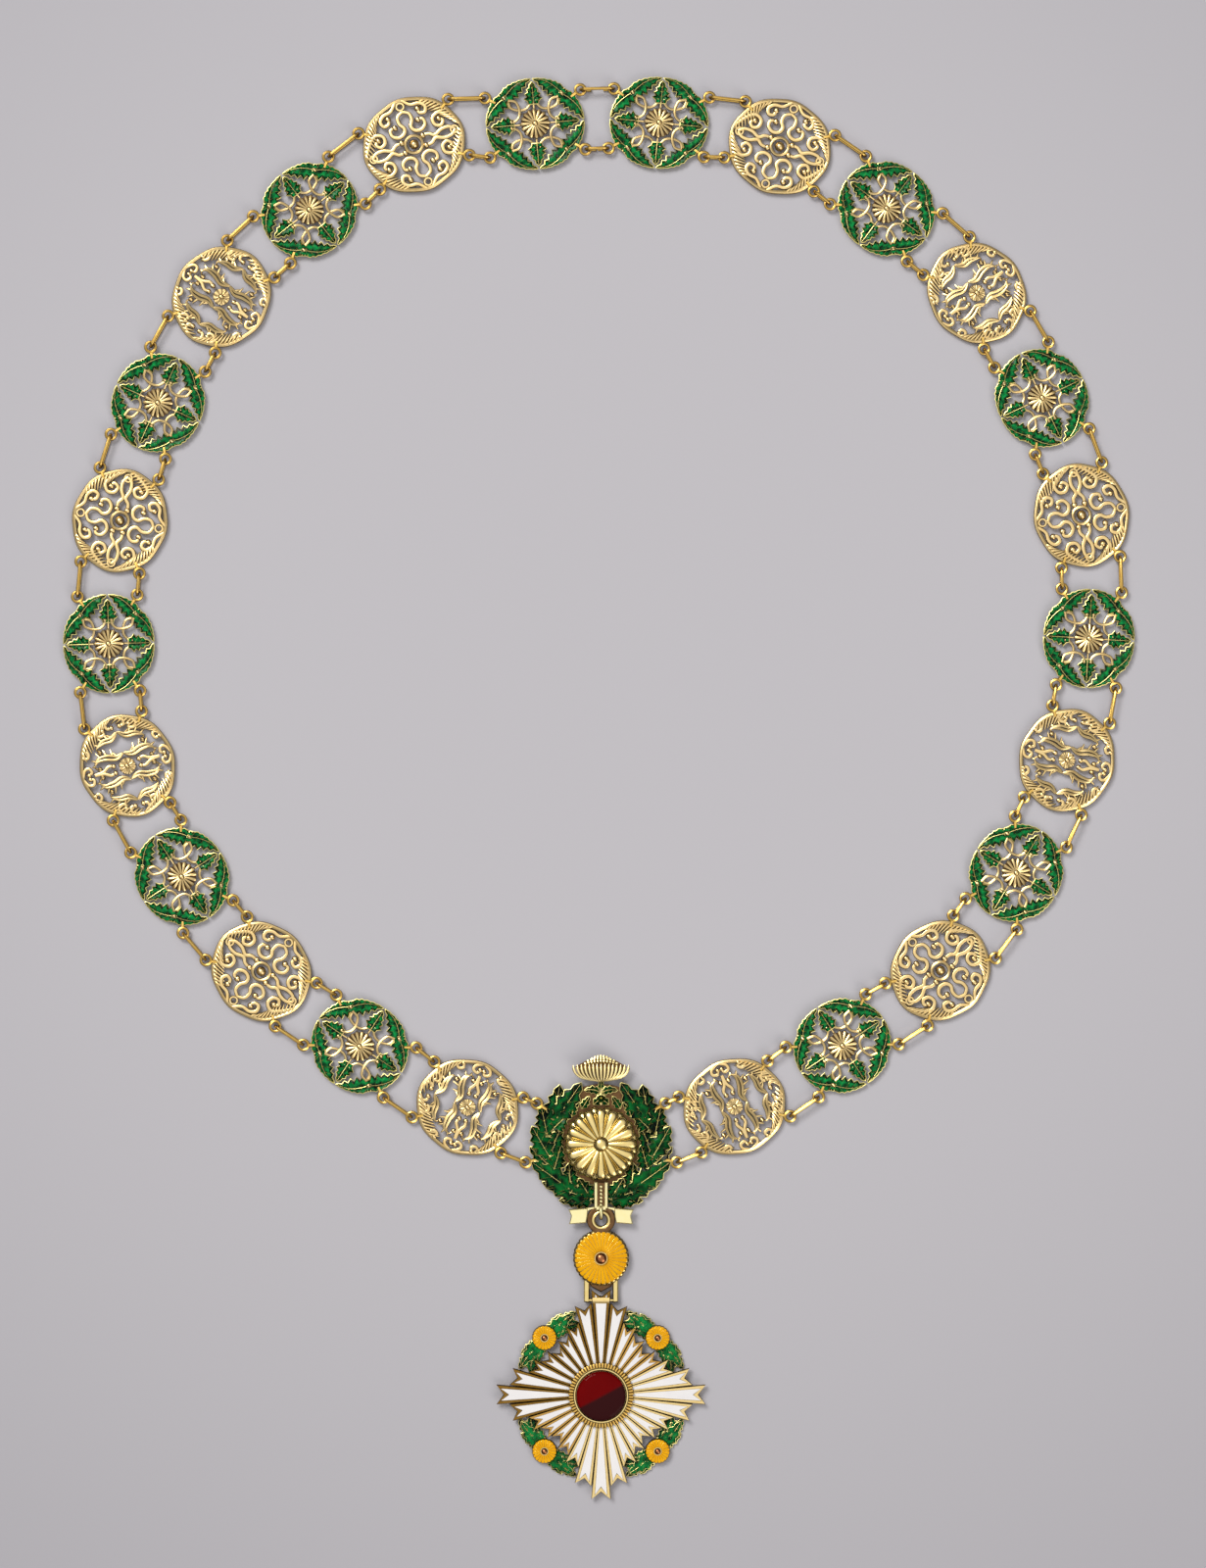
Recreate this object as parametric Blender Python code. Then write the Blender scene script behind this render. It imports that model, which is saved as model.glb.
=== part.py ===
# Chain collar of an order, laid flat: enamelled and pierced gold medallions joined in pairs of links,
# a leaf wreath at the front, and an enamelled flower disc with a sun badge hinged below it.
# Lengths are in metres. +Y points from the badge to the clasp and +Z is up, away from the backs.
import math

import bmesh
import bpy
from mathutils import Matrix, Vector
from mathutils.geometry import delaunay_2d_cdt

# Chain medallions
MEDALLION_LENGTH = 0.0300
MEDALLION_WIDTH = 0.0276
RIM_WAVE = 0.02
ROSETTE_DIAMETER = 0.0081
ROSETTE_RISE = 0.0011
GOLD_BOSS_DIAMETER = 0.0056
GOLD_BOSS_RISE = 0.0007

# Flat ring eyes and the links that pass through them
EYE_OUTER = 0.00375
EYE_HOLE = 0.0020
EYE_THICKNESS = 0.0009
EYE_SINK = 0.0002
EYE_ANGLE = math.radians(32)
LINK_WIRE = 0.0008
LINK_PLAY = 0.0003
LINK_GAP = 0.0054
HOOK_RETURN = 0.0017

# Wreath
WREATH_RADIUS = 0.0206
WREATH_WAVE = 0.0012
WREATH_EYE_ANGLES = (math.radians(32), math.radians(-14))
WREATH_HALF_STEP = 0.0196
PETAL_ROSETTE_DIAMETER = 0.0208
PETAL_ROSETTE_HEIGHT = 0.0032
CREST_WIDTH = 0.0166
CREST_HEIGHT = 0.0080
CREST_THICKNESS = 0.0020
CREST_OVERLAP = 0.0029

# Ribbon below the wreath and its hanging loop
STALK_WIDTH = 0.0039
RIBBON_WIDTH = 0.0190
RIBBON_HEIGHT = 0.0050
RIBBON_THICKNESS = 0.0012
RIBBON_TOP = 0.0180
HANGER_WIRE = 0.0011
HANGER_PLAY = 0.0003

# Flower disc
DISC_DIAMETER = 0.0160
DISC_THICKNESS = 0.0020
DISC_DOME = 0.0009
DISC_EYE_OUTER = 0.0059
DISC_EYE_HOLE = 0.0033
DISC_EYE_THICKNESS = 0.0013
DISC_BOSS_DIAMETER = 0.0036
DISC_BOSS_HEIGHT = 0.0012

# Hinge between the flower disc and the badge
HINGE_DROP = 0.0042
HINGE_PIN = 0.0010
HINGE_PLAY = 0.0003
HINGE_HEIGHT = 0.0016
KNUCKLE_WALL = 0.0005
ARM_WIDTH = 0.0017
ARM_THICKNESS = 0.0012

# Sun badge
BADGE_DIAMETER = 0.0600
RAY_COUNT = 32
RAY_THICKNESS = 0.0018
RAY_INSET = 0.0031
HUB_DIAMETER = 0.0180
BADGE_LEAF_THICKNESS = 0.0010
BADGE_FLOWER_DIAMETER = 0.0073
BADGE_FLOWER_HEIGHT = 0.0019
BEZEL_OUTER = 0.0188
BEZEL_HEIGHT = 0.0013
CABOCHON_DIAMETER = 0.0140
CABOCHON_HEIGHT = 0.0034

# Gap between pieces that rest on each other
SEAT_GAP = 0.0003

# A ray's tip and notch, as shares of the badge's radius, from a long ray to the diagonal one.
RAY_TIPS = (1.000, 0.873, 0.720, 0.653, 0.613)
RAY_NOTCHES = (0.927, 0.813, 0.650, 0.593, 0.550)
RAY_WIDTH_SHARE = 0.95

# The middle line of the laid chain, from the wreath round to the right.
CHAIN_ROUTE = [
    (0.0000, -0.1475), (0.0390, -0.1365), (0.0990, -0.0960), (0.1335, -0.0365), (0.1370, 0.0330),
    (0.1055, 0.0975), (0.0490, 0.1380), (-0.0030, 0.1435), (-0.0550, 0.1370), (-0.1090, 0.0935),
    (-0.1375, 0.0300), (-0.1355, -0.0390), (-0.0990, -0.0965), (-0.0395, -0.1365),
]
MEDALLIONS = 24
ROUTE_STEPS = 40

# Piercings as corners (share of the way from the centre to the rim, degrees from the piercing's middle).
KITE = ((0.40, 0), (0.55, 15), (0.76, 0), (0.55, -15))
WEDGE = ((0.42, -13), (0.42, 13), (0.74, 17), (0.74, -17))
LEAF_SLOT = ((0.36, 0), (0.56, 12), (0.78, 4), (0.62, -14))

# Half of the crest flower's outline, as shares of its width and height.
CREST_SHARES = ((0.20, 0.00), (0.36, 0.22), (0.50, 0.62), (0.34, 0.72), (0.22, 0.93), (0.00, 1.00))
# Half of the ribbon below its shoulders, as shares of its width and height.
TAIL_SHARES = ((0.27, 0.02), (0.50, 0.10), (0.44, 0.50), (0.47, 0.98), (0.23, 1.00))

# Sides of round features
EYE_SIDES = 10
LOBE_POINTS = 4
LINK_SIDES = 5
LINK_BEND_STEPS = 5
OVAL_STEPS = 18
ROUND_SIDES = 12
BEZEL_SIDES = 16

# Heights shared by pieces that thread through or lie on each other
EYE_WIRE = (EYE_OUTER - EYE_HOLE) / 2
EYE_MIDDLE = (EYE_OUTER + EYE_HOLE) / 4
LINK_BEND = LINK_PLAY + math.hypot(EYE_WIRE, EYE_THICKNESS) / 2 + LINK_WIRE / 2
EYE_LEVEL = LINK_BEND + LINK_WIRE / 2
PLATE_TOP = EYE_LEVEL + EYE_THICKNESS / 2
FLOWER_LEVEL = PLATE_TOP + SEAT_GAP
RAY_LEVEL = BADGE_LEAF_THICKNESS + SEAT_GAP
RAY_TOP = RAY_LEVEL + RAY_THICKNESS


def clear_scene():
    for obj in list(bpy.data.objects):
        bpy.data.objects.remove(obj, do_unlink=True)


def material(name, colour, roughness, metallic):
    found = bpy.data.materials.new(name)
    found.use_nodes = True
    shader = found.node_tree.nodes["Principled BSDF"]
    shader.inputs["Base Color"].default_value = (*colour, 1.0)
    shader.inputs["Roughness"].default_value = roughness
    shader.inputs["Metallic"].default_value = metallic
    return found


def empty(name, place, parent=None):
    holder = bpy.data.objects.new(name, None)
    bpy.context.scene.collection.objects.link(holder)
    holder.parent = parent
    holder.location = place
    return holder


def add_object(name, bm, finish, parent, place=(0, 0, 0), turn=0.0):
    """Makes the object from a closed mesh, shades its round parts smooth and places it."""
    bmesh.ops.recalc_face_normals(bm, faces=bm.faces)
    mesh = bpy.data.meshes.new(name)
    bm.to_mesh(mesh)
    bm.free()
    mesh.materials.append(finish)
    mesh.shade_smooth()
    mesh.set_sharp_from_angle(angle=math.radians(32))
    obj = bpy.data.objects.new(name, mesh)
    bpy.context.scene.collection.objects.link(obj)
    obj.parent = parent
    obj.location = place
    obj.rotation_euler = (0, 0, turn)
    return obj


def combine(obj, other, operation):
    """Joins or cuts with a guide object, which keeps to the same place and isn't shown."""
    other.hide_render = True
    other.display_type = "WIRE"
    modifier = obj.modifiers.new(other.name, "BOOLEAN")
    modifier.operation = operation
    modifier.solver = "EXACT"
    modifier.object = other


def polar(angle, distance, centre=(0, 0)):
    return (centre[0] + distance * math.cos(angle), centre[1] + distance * math.sin(angle))


def circle(radius, sides, centre=(0, 0), start=0.0):
    return [polar(start + math.tau * i / sides, radius, centre) for i in range(sides)]


def oval(angle, length, width):
    """Distance from an oval's centre to its rim."""
    return 0.5 / math.hypot(math.cos(angle) / length, math.sin(angle) / width)


# Flat plates with flat ring eyes on their rims

def eye_on_rim(rim, angle, outer, sink):
    """Where an eye sits on a rim: its centre, and the two angles at which its edge meets the rim."""
    centre = polar(angle, rim(angle) + outer / 2 - sink)
    meets = []
    for side in (-1, 1):
        near, far = 0.0, 0.6
        for _ in range(30):
            middle = (near + far) / 2
            point = polar(angle + side * middle, rim(angle + side * middle))
            if math.dist(point, centre) < outer / 2:
                near = middle
            else:
                far = middle
        meets.append(angle + side * near)
    return centre, meets


def outline_with_eyes(corners, rim, eyes, outer, sink):
    """Puts the eyes' meeting points into a list of (angle, distance) corners and drops those between."""
    margin = 0.04
    seats = []
    for angle, is_open in eyes:
        centre, (first, last) = eye_on_rim(rim, angle, outer, sink)
        seats.append((centre, first, last, is_open))
    kept = []
    for angle, distance in corners:
        clear = True
        for _, first, last, _ in seats:
            middle = (first + last) / 2
            away = abs((angle - middle + math.pi) % math.tau - math.pi)
            clear = clear and away > (last - first) / 2 + margin
        if clear:
            kept.append((angle % math.tau, polar(angle, distance), None))
    for seat in seats:
        _, first, last, _ = seat
        kept.append((first % math.tau, polar(first, rim(first)), seat))
        kept.append((last % math.tau, polar(last, rim(last)), None))
    kept.sort(key=lambda corner: corner[0])
    points = [point for _, point, _ in kept]
    lobes = {i: seat for i, (_, _, seat) in enumerate(kept) if seat}
    return points, lobes


def add_ring(bm, points, height):
    return [bm.verts.new((x, y, height)) for x, y in points]


def inside(point, ring):
    """Whether a flat point lies inside a ring of corners."""
    crossings = 0
    for i, vert in enumerate(ring):
        a, b = vert.co, ring[i - 1].co
        if (a.y > point.y) != (b.y > point.y):
            crossings += point.x < a.x + (b.x - a.x) * (point.y - a.y) / (b.y - a.y)
    return crossings % 2 == 1


def fill(bm, rings):
    """Fills the ground between an outer ring and the rings inside it."""
    corners = [vert for ring in rings for vert in ring]
    edges = []
    for ring in rings:
        first = len(edges)
        edges += [(first + i, first + (i + 1) % len(ring)) for i in range(len(ring))]
    flat = [vert.co.to_2d() for vert in corners]
    _, _, triangles, sources, _, _ = delaunay_2d_cdt(flat, edges, [], 1, 1e-8)
    for triangle in triangles:
        used = [corners[sources[i][0]] for i in triangle]
        middle = sum((vert.co for vert in used), Vector()) / 3
        if inside(middle, rings[0]) and not any(inside(middle, hole) for hole in rings[1:]):
            bm.faces.new(used)


def wall(bm, low, high):
    for i in range(len(low)):
        j = (i + 1) % len(low)
        bm.faces.new((low[i], low[j], high[j], high[i]))


def stepped_wall(bm, low, high, middle, lobes):
    """A plate's outer wall, which has extra corners where the thinner eyes join it."""
    count = len(low)
    for i in range(count):
        j = (i + 1) % count
        if i in lobes:
            bm.faces.new((low[i], low[j], middle[j], middle[i]))
        elif j in middle:
            bm.faces.new((high[i], low[i], low[j]))
            bm.faces.new((high[i], low[j], middle[j]))
            bm.faces.new((high[i], middle[j], high[j]))
        elif i in middle:
            bm.faces.new((low[j], high[j], high[i]))
            bm.faces.new((low[j], high[i], middle[i]))
            bm.faces.new((low[j], middle[i], low[i]))
        else:
            bm.faces.new((low[i], low[j], high[j], high[i]))


def relief(bm, ring, steps):
    """Raises the ground inside a ring by steps of (share of its size, rise); a share of 0 is a point."""
    centre = sum((vert.co for vert in ring), Vector()) / len(ring)
    for share, rise in steps:
        if share == 0:
            peak = bm.verts.new(centre + Vector((0, 0, rise)))
            for i, vert in enumerate(ring):
                bm.faces.new((vert, ring[(i + 1) % len(ring)], peak))
            return
        higher = [bm.verts.new(centre.lerp(vert.co, share) + Vector((0, 0, rise))) for vert in ring]
        for vert in higher:
            vert.co.z = centre.z + rise
        wall(bm, ring, higher)
        ring = higher
    fill(bm, [ring])


def plate(outline, low, high, gaps=(), raised=(), sunk=(), lobes=None, eye=None):
    """A flat plate with piercings, raised ground on its face or back, and ring eyes on its rim."""
    bm = bmesh.new()
    lobes = lobes or {}
    top = add_ring(bm, outline, high)
    bottom = add_ring(bm, outline, low)
    gap_tops = [add_ring(bm, gap, high) for gap in gaps]
    gap_bottoms = [add_ring(bm, gap, low) for gap in gaps]
    raised_rings = [add_ring(bm, points, high) for points, _ in raised]
    sunk_rings = [add_ring(bm, points, low) for points, _ in sunk]
    fill(bm, [top] + gap_tops + raised_rings)
    fill(bm, [bottom] + gap_bottoms + sunk_rings)
    for low_ring, high_ring in zip(gap_bottoms, gap_tops):
        wall(bm, low_ring, high_ring)
    for ring, (_, steps) in zip(raised_rings, raised):
        relief(bm, ring, steps)
    for ring, (_, steps) in zip(sunk_rings, sunk):
        relief(bm, ring, steps)
    middle = {}
    for i, (centre, _, _, is_open) in lobes.items():
        j = (i + 1) % len(outline)
        level = high - eye["thickness"]
        for k in (i, j):
            middle[k] = bm.verts.new((*outline[k], level))
        start, end = (math.atan2(outline[k][1] - centre[1], outline[k][0] - centre[0]) for k in (i, j))
        sweep = (end - start) % math.tau
        turn = sweep / (LOBE_POINTS + 1)
        arc = [polar(start + turn * (k + 1), eye["outer"] / 2, centre) for k in range(LOBE_POINTS)]
        arc_top = [top[i]] + add_ring(bm, arc, high) + [top[j]]
        arc_low = [middle[i]] + add_ring(bm, arc, level) + [middle[j]]
        for k in range(len(arc) + 1):
            bm.faces.new((arc_low[k], arc_low[k + 1], arc_top[k + 1], arc_top[k]))
        hole_top, hole_low = [], []
        if is_open:
            hole = circle(eye["hole"] / 2, EYE_SIDES, centre, start)
            hole_top = [add_ring(bm, hole, high)]
            hole_low = [add_ring(bm, hole, level)]
            wall(bm, hole_low[0], hole_top[0])
        fill(bm, [arc_top] + hole_top)
        fill(bm, [arc_low] + hole_low)
    stepped_wall(bm, bottom, top, middle, lobes)
    return bm


def turned(profile, sides, centre=(0, 0)):
    """A round solid from (radius, height) points; the first and last are flat faces or points."""
    bm = bmesh.new()
    rings = []
    for radius, height in profile:
        if radius == 0:
            rings.append([bm.verts.new((*centre, height))])
        else:
            rings.append(add_ring(bm, circle(radius, sides, centre), height))
    for low, high in zip(rings, rings[1:]):
        for i in range(sides):
            j = (i + 1) % sides
            if len(high) == 1:
                bm.faces.new((low[i], low[j], high[0]))
            else:
                bm.faces.new((low[i], low[j], high[j], high[i]))
    for ring in (rings[0], rings[-1]):
        if len(ring) > 1:
            fill(bm, [ring])
    return bm


# Links

def link_line(reach, hooked):
    """A link seen from its side, as (distance, height, wire radius), from the eye it is fixed to."""
    thin = LINK_WIRE / 2
    bend_at = reach - EYE_MIDDLE
    line = [(EYE_MIDDLE - EYE_WIRE / 2, EYE_LEVEL, thin)]
    for i in range(LINK_BEND_STEPS + 1):
        angle = math.pi * (0.5 - i / LINK_BEND_STEPS)
        line.append((bend_at + LINK_BEND * math.cos(angle), EYE_LEVEL + LINK_BEND * math.sin(angle), thin))
    if hooked:
        lift = EYE_LEVEL - LINK_BEND + thin * 0.5
        line.append((bend_at - HOOK_RETURN * 0.7, lift, thin))
        line.append((bend_at - HOOK_RETURN, lift, thin * 1.5))
    else:
        line.append((EYE_OUTER / 2 + LINK_PLAY, EYE_LEVEL - thin * 1.9, thin))
    return line


def add_link(bm, leaves, holds, hooked):
    """One wire link between two eye centres, in an upright plane."""
    along = Vector((holds[0] - leaves[0], holds[1] - leaves[1], 0))
    line = link_line(along.length, hooked)
    along.normalize()
    across = Vector((-along.y, along.x, 0))
    origin = Vector((leaves[0], leaves[1], 0))
    up = Vector((0, 0, 1))
    places = [origin + along * distance + up * height for distance, height, _ in line]
    rings = []
    for i, place in enumerate(places):
        before = places[max(i - 1, 0)]
        after = places[min(i + 1, len(places) - 1)]
        heading = (after - before).normalized()
        side = heading.cross(across)
        ring = []
        for k in range(LINK_SIDES):
            angle = math.tau * k / LINK_SIDES
            ring.append(bm.verts.new(place + line[i][2] * (side * math.cos(angle) + across * math.sin(angle))))
        rings.append(ring)
    for low, high in zip(rings, rings[1:]):
        wall(bm, low, high)
    bm.faces.new(rings[0])
    bm.faces.new(rings[-1])


# The chain's layout

def smooth_route(points, steps):
    """Points of a smooth closed curve through the given ones."""
    curve = []
    count = len(points)
    for i in range(count):
        a, b, c, d = (Vector(points[(i + k) % count]) for k in (-1, 0, 1, 2))
        for j in range(steps):
            t = j / steps
            bend = (a * 2 - b * 5 + c * 4 - d) * t * t + (b * 3 - a - c * 3 + d) * t ** 3
            curve.append((b * 2 + (c - a) * t + bend) / 2)
    return curve


def spaced_along(curve, distances):
    """Places along a closed curve, enlarged so that the distances go round it exactly once."""
    count = len(curve)
    lengths = [(curve[(i + 1) % count] - curve[i]).length for i in range(count)]
    scale = sum(distances) / sum(lengths)
    places = []
    wanted, passed, i = 0.0, 0.0, 0
    for distance in distances:
        while passed + lengths[i] * scale < wanted:
            passed += lengths[i] * scale
            i += 1
        share = (wanted - passed) / (lengths[i] * scale)
        places.append(curve[i].lerp(curve[(i + 1) % count], share) * scale)
        wanted += distance
    return places


def chain_layout():
    """Each piece's place, turn and four eyes: the wreath first, then the medallions round to the right."""
    half_steps = [WREATH_HALF_STEP] + [MEDALLION_LENGTH / 2] * MEDALLIONS
    count = len(half_steps)
    steps = [half_steps[i] + LINK_GAP + half_steps[(i + 1) % count] for i in range(count)]
    places = spaced_along(smooth_route(CHAIN_ROUTE, ROUTE_STEPS), steps)
    pieces = []
    for i, place in enumerate(places):
        ahead = places[(i + 1) % count] - places[i - 1]
        turn = math.atan2(ahead.y, ahead.x) if i else 0.0
        rim = medallion_rim if i else wreath_rim
        inner, outer = (EYE_ANGLE, -EYE_ANGLE) if i else WREATH_EYE_ANGLES
        eyes = [(inner, False), (outer, False), (math.pi - inner, True), (math.pi - outer, True)]
        centres = [eye_on_rim(rim, angle, EYE_OUTER, EYE_SINK)[0] for angle, _ in eyes]
        pieces.append({"place": place, "turn": turn, "eyes": eyes, "centres": centres})
    return pieces


def to_other(point, piece, other):
    """Moves a point from one piece's own frame to another's."""
    world = Matrix.Rotation(piece["turn"], 2) @ Vector(point) + piece["place"]
    return Matrix.Rotation(-other["turn"], 2) @ (world - other["place"])


def add_links(obj, pieces, index, hooked, parent, finish):
    """Solders two links to a piece's leading eyes; each passes through an open eye of the next piece."""
    piece = pieces[index]
    following = pieces[(index + 1) % len(pieces)]
    bm = bmesh.new()
    for leaves, holds in ((0, 2), (1, 3)):
        target = to_other(following["centres"][holds], following, piece)
        add_link(bm, piece["centres"][leaves], target, hooked)
    place = (*piece["place"], 0)
    guide = add_object(obj.name + "_links", bm, finish, parent, place, piece["turn"])
    combine(obj, guide, "UNION")


def medallion_rim(angle):
    """Leaf tips give the medallion's oval rim a slight wave."""
    wave = 1 - RIM_WAVE * (0.5 - 0.5 * math.cos(8 * angle))
    return oval(angle, MEDALLION_LENGTH, MEDALLION_WIDTH) * wave


def piercing(corners, middle):
    """A piercing's outline in a medallion, turned to its middle angle."""
    points = []
    for share, degrees in corners:
        angle = middle + math.radians(degrees)
        points.append(polar(angle, share * oval(angle, MEDALLION_LENGTH, MEDALLION_WIDTH)))
    return points


def chain_plate(name, piece, corners, rim, gaps, raised, finish, parent):
    outline, lobes = outline_with_eyes(corners, rim, piece["eyes"], EYE_OUTER, EYE_SINK)
    eye = {"outer": EYE_OUTER, "hole": EYE_HOLE, "thickness": EYE_THICKNESS}
    bm = plate(outline, 0, PLATE_TOP, gaps, raised, (), lobes, eye)
    return add_object(name, bm, finish, parent, (*piece["place"], 0), piece["turn"])


def medallion_corners():
    angles = [math.tau * (i + 0.5) / OVAL_STEPS for i in range(OVAL_STEPS)]
    return [(angle, medallion_rim(angle)) for angle in angles]


def green_medallion(name, piece, finish, parent):
    """Four inner and eight outer leaves round a small rosette, with piercings on the diagonals."""
    gaps = [piercing(KITE, math.pi * (0.25 + 0.5 * i)) for i in range(4)]
    rosette = circle(ROSETTE_DIAMETER / 2, EYE_SIDES)
    raised = [(rosette, ((0.6, ROSETTE_RISE),))]
    return chain_plate(name, piece, medallion_corners(), medallion_rim, gaps, raised, finish, parent)


def gold_medallion(name, piece, is_frond, finish, parent):
    """Pierced gold, with either leafy fronds or scrolls round a small boss."""
    corners = LEAF_SLOT if is_frond else WEDGE
    count = 5 if is_frond else 6
    middles = [math.tau * i / count for i in range(count)]
    gaps = [piercing(corners, middle) for middle in middles]
    boss = circle(GOLD_BOSS_DIAMETER / 2, EYE_SIDES)
    raised = [(boss, ((0, GOLD_BOSS_RISE),))]
    return chain_plate(name, piece, medallion_corners(), medallion_rim, gaps, raised, finish, parent)


def add_medallions(pieces, green, gold, parent):
    """Gold and green by turns from the wreath up both sides; the top pair is joined by hooked links."""
    counts = {"green": 0, "gold": 0}
    for i in range(1, MEDALLIONS + 1):
        from_wreath = min(i, MEDALLIONS + 1 - i)
        kind = "gold" if from_wreath % 2 else "green"
        counts[kind] += 1
        name = f"{kind}_medallion_{counts[kind]:02d}"
        if kind == "gold":
            obj = gold_medallion(name, pieces[i], from_wreath % 4 == 1, gold, parent)
        else:
            obj = green_medallion(name, pieces[i], green, parent)
        add_links(obj, pieces, i, i == MEDALLIONS // 2, parent, gold)


# Wreath, rosette and crest

def wreath_rim(angle):
    wave = 0.5 - 0.5 * math.cos(14 * (angle - math.pi / 2))
    return WREATH_RADIUS - WREATH_WAVE * wave


def hanger_line():
    """Distance below the wreath's centre at which the hanging loop holds the disc's eye."""
    return RIBBON_TOP + 0.3 * RIBBON_HEIGHT


def disc_eye_wire():
    return (DISC_EYE_OUTER - DISC_EYE_HOLE) / 2


def hanger_bend():
    """Middle radius of the hanging loop, which clears the flat eye's wire."""
    return HANGER_PLAY + math.hypot(disc_eye_wire(), DISC_EYE_THICKNESS) / 2 + HANGER_WIRE / 2


def wreath_leaves(pieces, green, gold, parent):
    """The plate of leaves, pierced above the rosette and notched where the hanging loop passes."""
    notch_top = hanger_line() - hanger_bend() - HANGER_WIRE / 2 - 2 * SEAT_GAP
    half_notch = math.atan2(DISC_EYE_OUTER / 2 + 2 * SEAT_GAP, notch_top)
    down = -math.pi / 2
    corners = []
    count = 28
    for i in range(count):
        angle = math.tau * i / count + math.pi / count
        if abs((angle - down + math.pi) % math.tau - math.pi) > half_notch + 0.03:
            corners.append((angle, wreath_rim(angle)))
    depth = notch_top / math.cos(half_notch)
    for side in (-1, 1):
        angle = down + side * half_notch
        corners.append((angle + side * 0.001, wreath_rim(angle)))
        corners.append((angle, depth))
    gaps = []
    half_rosette = PETAL_ROSETTE_DIAMETER / 2
    opening = (WREATH_RADIUS - half_rosette) * 0.42
    for side in (-1, 1):
        middle = math.pi / 2 + side * math.radians(21)
        gaps.append(circle(opening / 2, 6, polar(middle, half_rosette + opening)))
    obj = chain_plate("wreath_leaves", pieces[0], corners, wreath_rim, gaps, (), green, parent)
    add_links(obj, pieces, 0, False, parent, gold)


def wreath_rosette(centre, gold, parent):
    """Sixteen petals over a domed middle."""
    petals = 16
    points = []
    for i in range(petals):
        points.append(polar(math.tau * i / petals, PETAL_ROSETTE_DIAMETER / 2))
        points.append(polar(math.tau * (i + 0.5) / petals, PETAL_ROSETTE_DIAMETER / 2 * 0.94))
    edge = PETAL_ROSETTE_HEIGHT * 0.25
    rise = PETAL_ROSETTE_HEIGHT - edge
    bm = bmesh.new()
    low = add_ring(bm, points, FLOWER_LEVEL)
    high = add_ring(bm, points, FLOWER_LEVEL + edge)
    fill(bm, [low])
    wall(bm, low, high)
    relief(bm, high, ((0.68, rise * 0.7), (0, rise)))
    add_object("wreath_rosette", bm, gold, parent, (*centre, 0))


def mirrored(half):
    """A closed outline from the points of its right half, the last of which may lie on the axis."""
    left = [(-x, y) for x, y in reversed(half) if abs(x) > 1e-9]
    return list(half) + left


def crest_flower(centre, gold, parent):
    """Side view of a fluted flower, lying on the wreath's top leaves."""
    half = [(x * CREST_WIDTH, y * CREST_HEIGHT) for x, y in CREST_SHARES]
    points = mirrored(half)
    bm = plate(points, FLOWER_LEVEL, FLOWER_LEVEL + CREST_THICKNESS)
    foot = centre[1] + WREATH_RADIUS - CREST_OVERLAP
    add_object("crest_flower", bm, gold, parent, (centre[0], foot, 0))


def ring_in_plane(bm, middle_radius, wire, sides, wire_sides, centre):
    """A round wire ring that stands upright in the YZ plane."""
    rings = []
    for i in range(sides):
        angle = math.tau * i / sides
        outward = Vector((0, math.cos(angle), math.sin(angle)))
        ring = []
        for k in range(wire_sides):
            turn = math.tau * (k + 0.5) / wire_sides
            offset = outward * (middle_radius + wire / 2 * math.cos(turn))
            ring.append(bm.verts.new(Vector(centre) + offset + Vector((wire / 2 * math.sin(turn), 0, 0))))
        rings.append(ring)
    for i, ring in enumerate(rings):
        wall(bm, ring, rings[(i + 1) % sides])


def ribbon_hanger(centre, gold, parent):
    """Engraved stalk, ribbon tails with an arch between them, and the upright loop below."""
    stalk_top = -(PETAL_ROSETTE_DIAMETER / 2 + SEAT_GAP)
    arch = DISC_EYE_OUTER / 2 + 3.5 * SEAT_GAP
    arch_centre = -(hanger_line() + (DISC_EYE_OUTER + DISC_EYE_HOLE) / 4)
    half = [(STALK_WIDTH / 2, stalk_top), (STALK_WIDTH / 2, -RIBBON_TOP + 0.0006)]
    for x, y in TAIL_SHARES:
        half.append((max(x * RIBBON_WIDTH, arch), -RIBBON_TOP - y * RIBBON_HEIGHT))
    half.append((arch, min(arch_centre, -RIBBON_TOP - RIBBON_HEIGHT * 0.7)))
    for degrees in (30, 60, 90):
        half.append(polar(math.radians(degrees), arch, (0, arch_centre)))
    half[-1] = (0.0, half[-1][1])
    half.reverse()
    points = mirrored(half)
    bm = plate(points, FLOWER_LEVEL, FLOWER_LEVEL + RIBBON_THICKNESS)
    obj = add_object("ribbon_hanger", bm, gold, parent, (*centre, 0))
    bm = bmesh.new()
    level = hanger_bend() + HANGER_WIRE / 2
    ring_in_plane(bm, hanger_bend(), HANGER_WIRE, ROUND_SIDES, 6, (0, -hanger_line(), level))
    loop = add_object("ribbon_hanger_loop", bm, gold, parent, (*centre, 0))
    combine(obj, loop, "UNION")


# Flower disc and hinge

def cylinder_across(radius, length, sides, centre):
    """A round bar along X."""
    bm = bmesh.new()
    ends = []
    for x in (-length / 2, length / 2):
        ring = []
        for i in range(sides):
            angle = math.tau * (i + 0.5) / sides
            ring.append(bm.verts.new((centre[0] + x, centre[1] + radius * math.cos(angle),
                                      centre[2] + radius * math.sin(angle))))
        ends.append(ring)
    wall(bm, ends[0], ends[1])
    bm.faces.new(ends[0])
    bm.faces.new(ends[1])
    return bm


def block(bm, low, high):
    grown = bmesh.ops.create_cube(bm, size=1.0)
    size = [high[k] - low[k] for k in range(3)]
    middle = [(high[k] + low[k]) / 2 for k in range(3)]
    bmesh.ops.scale(bm, vec=size, verts=grown["verts"])
    bmesh.ops.translate(bm, vec=middle, verts=grown["verts"])


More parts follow.
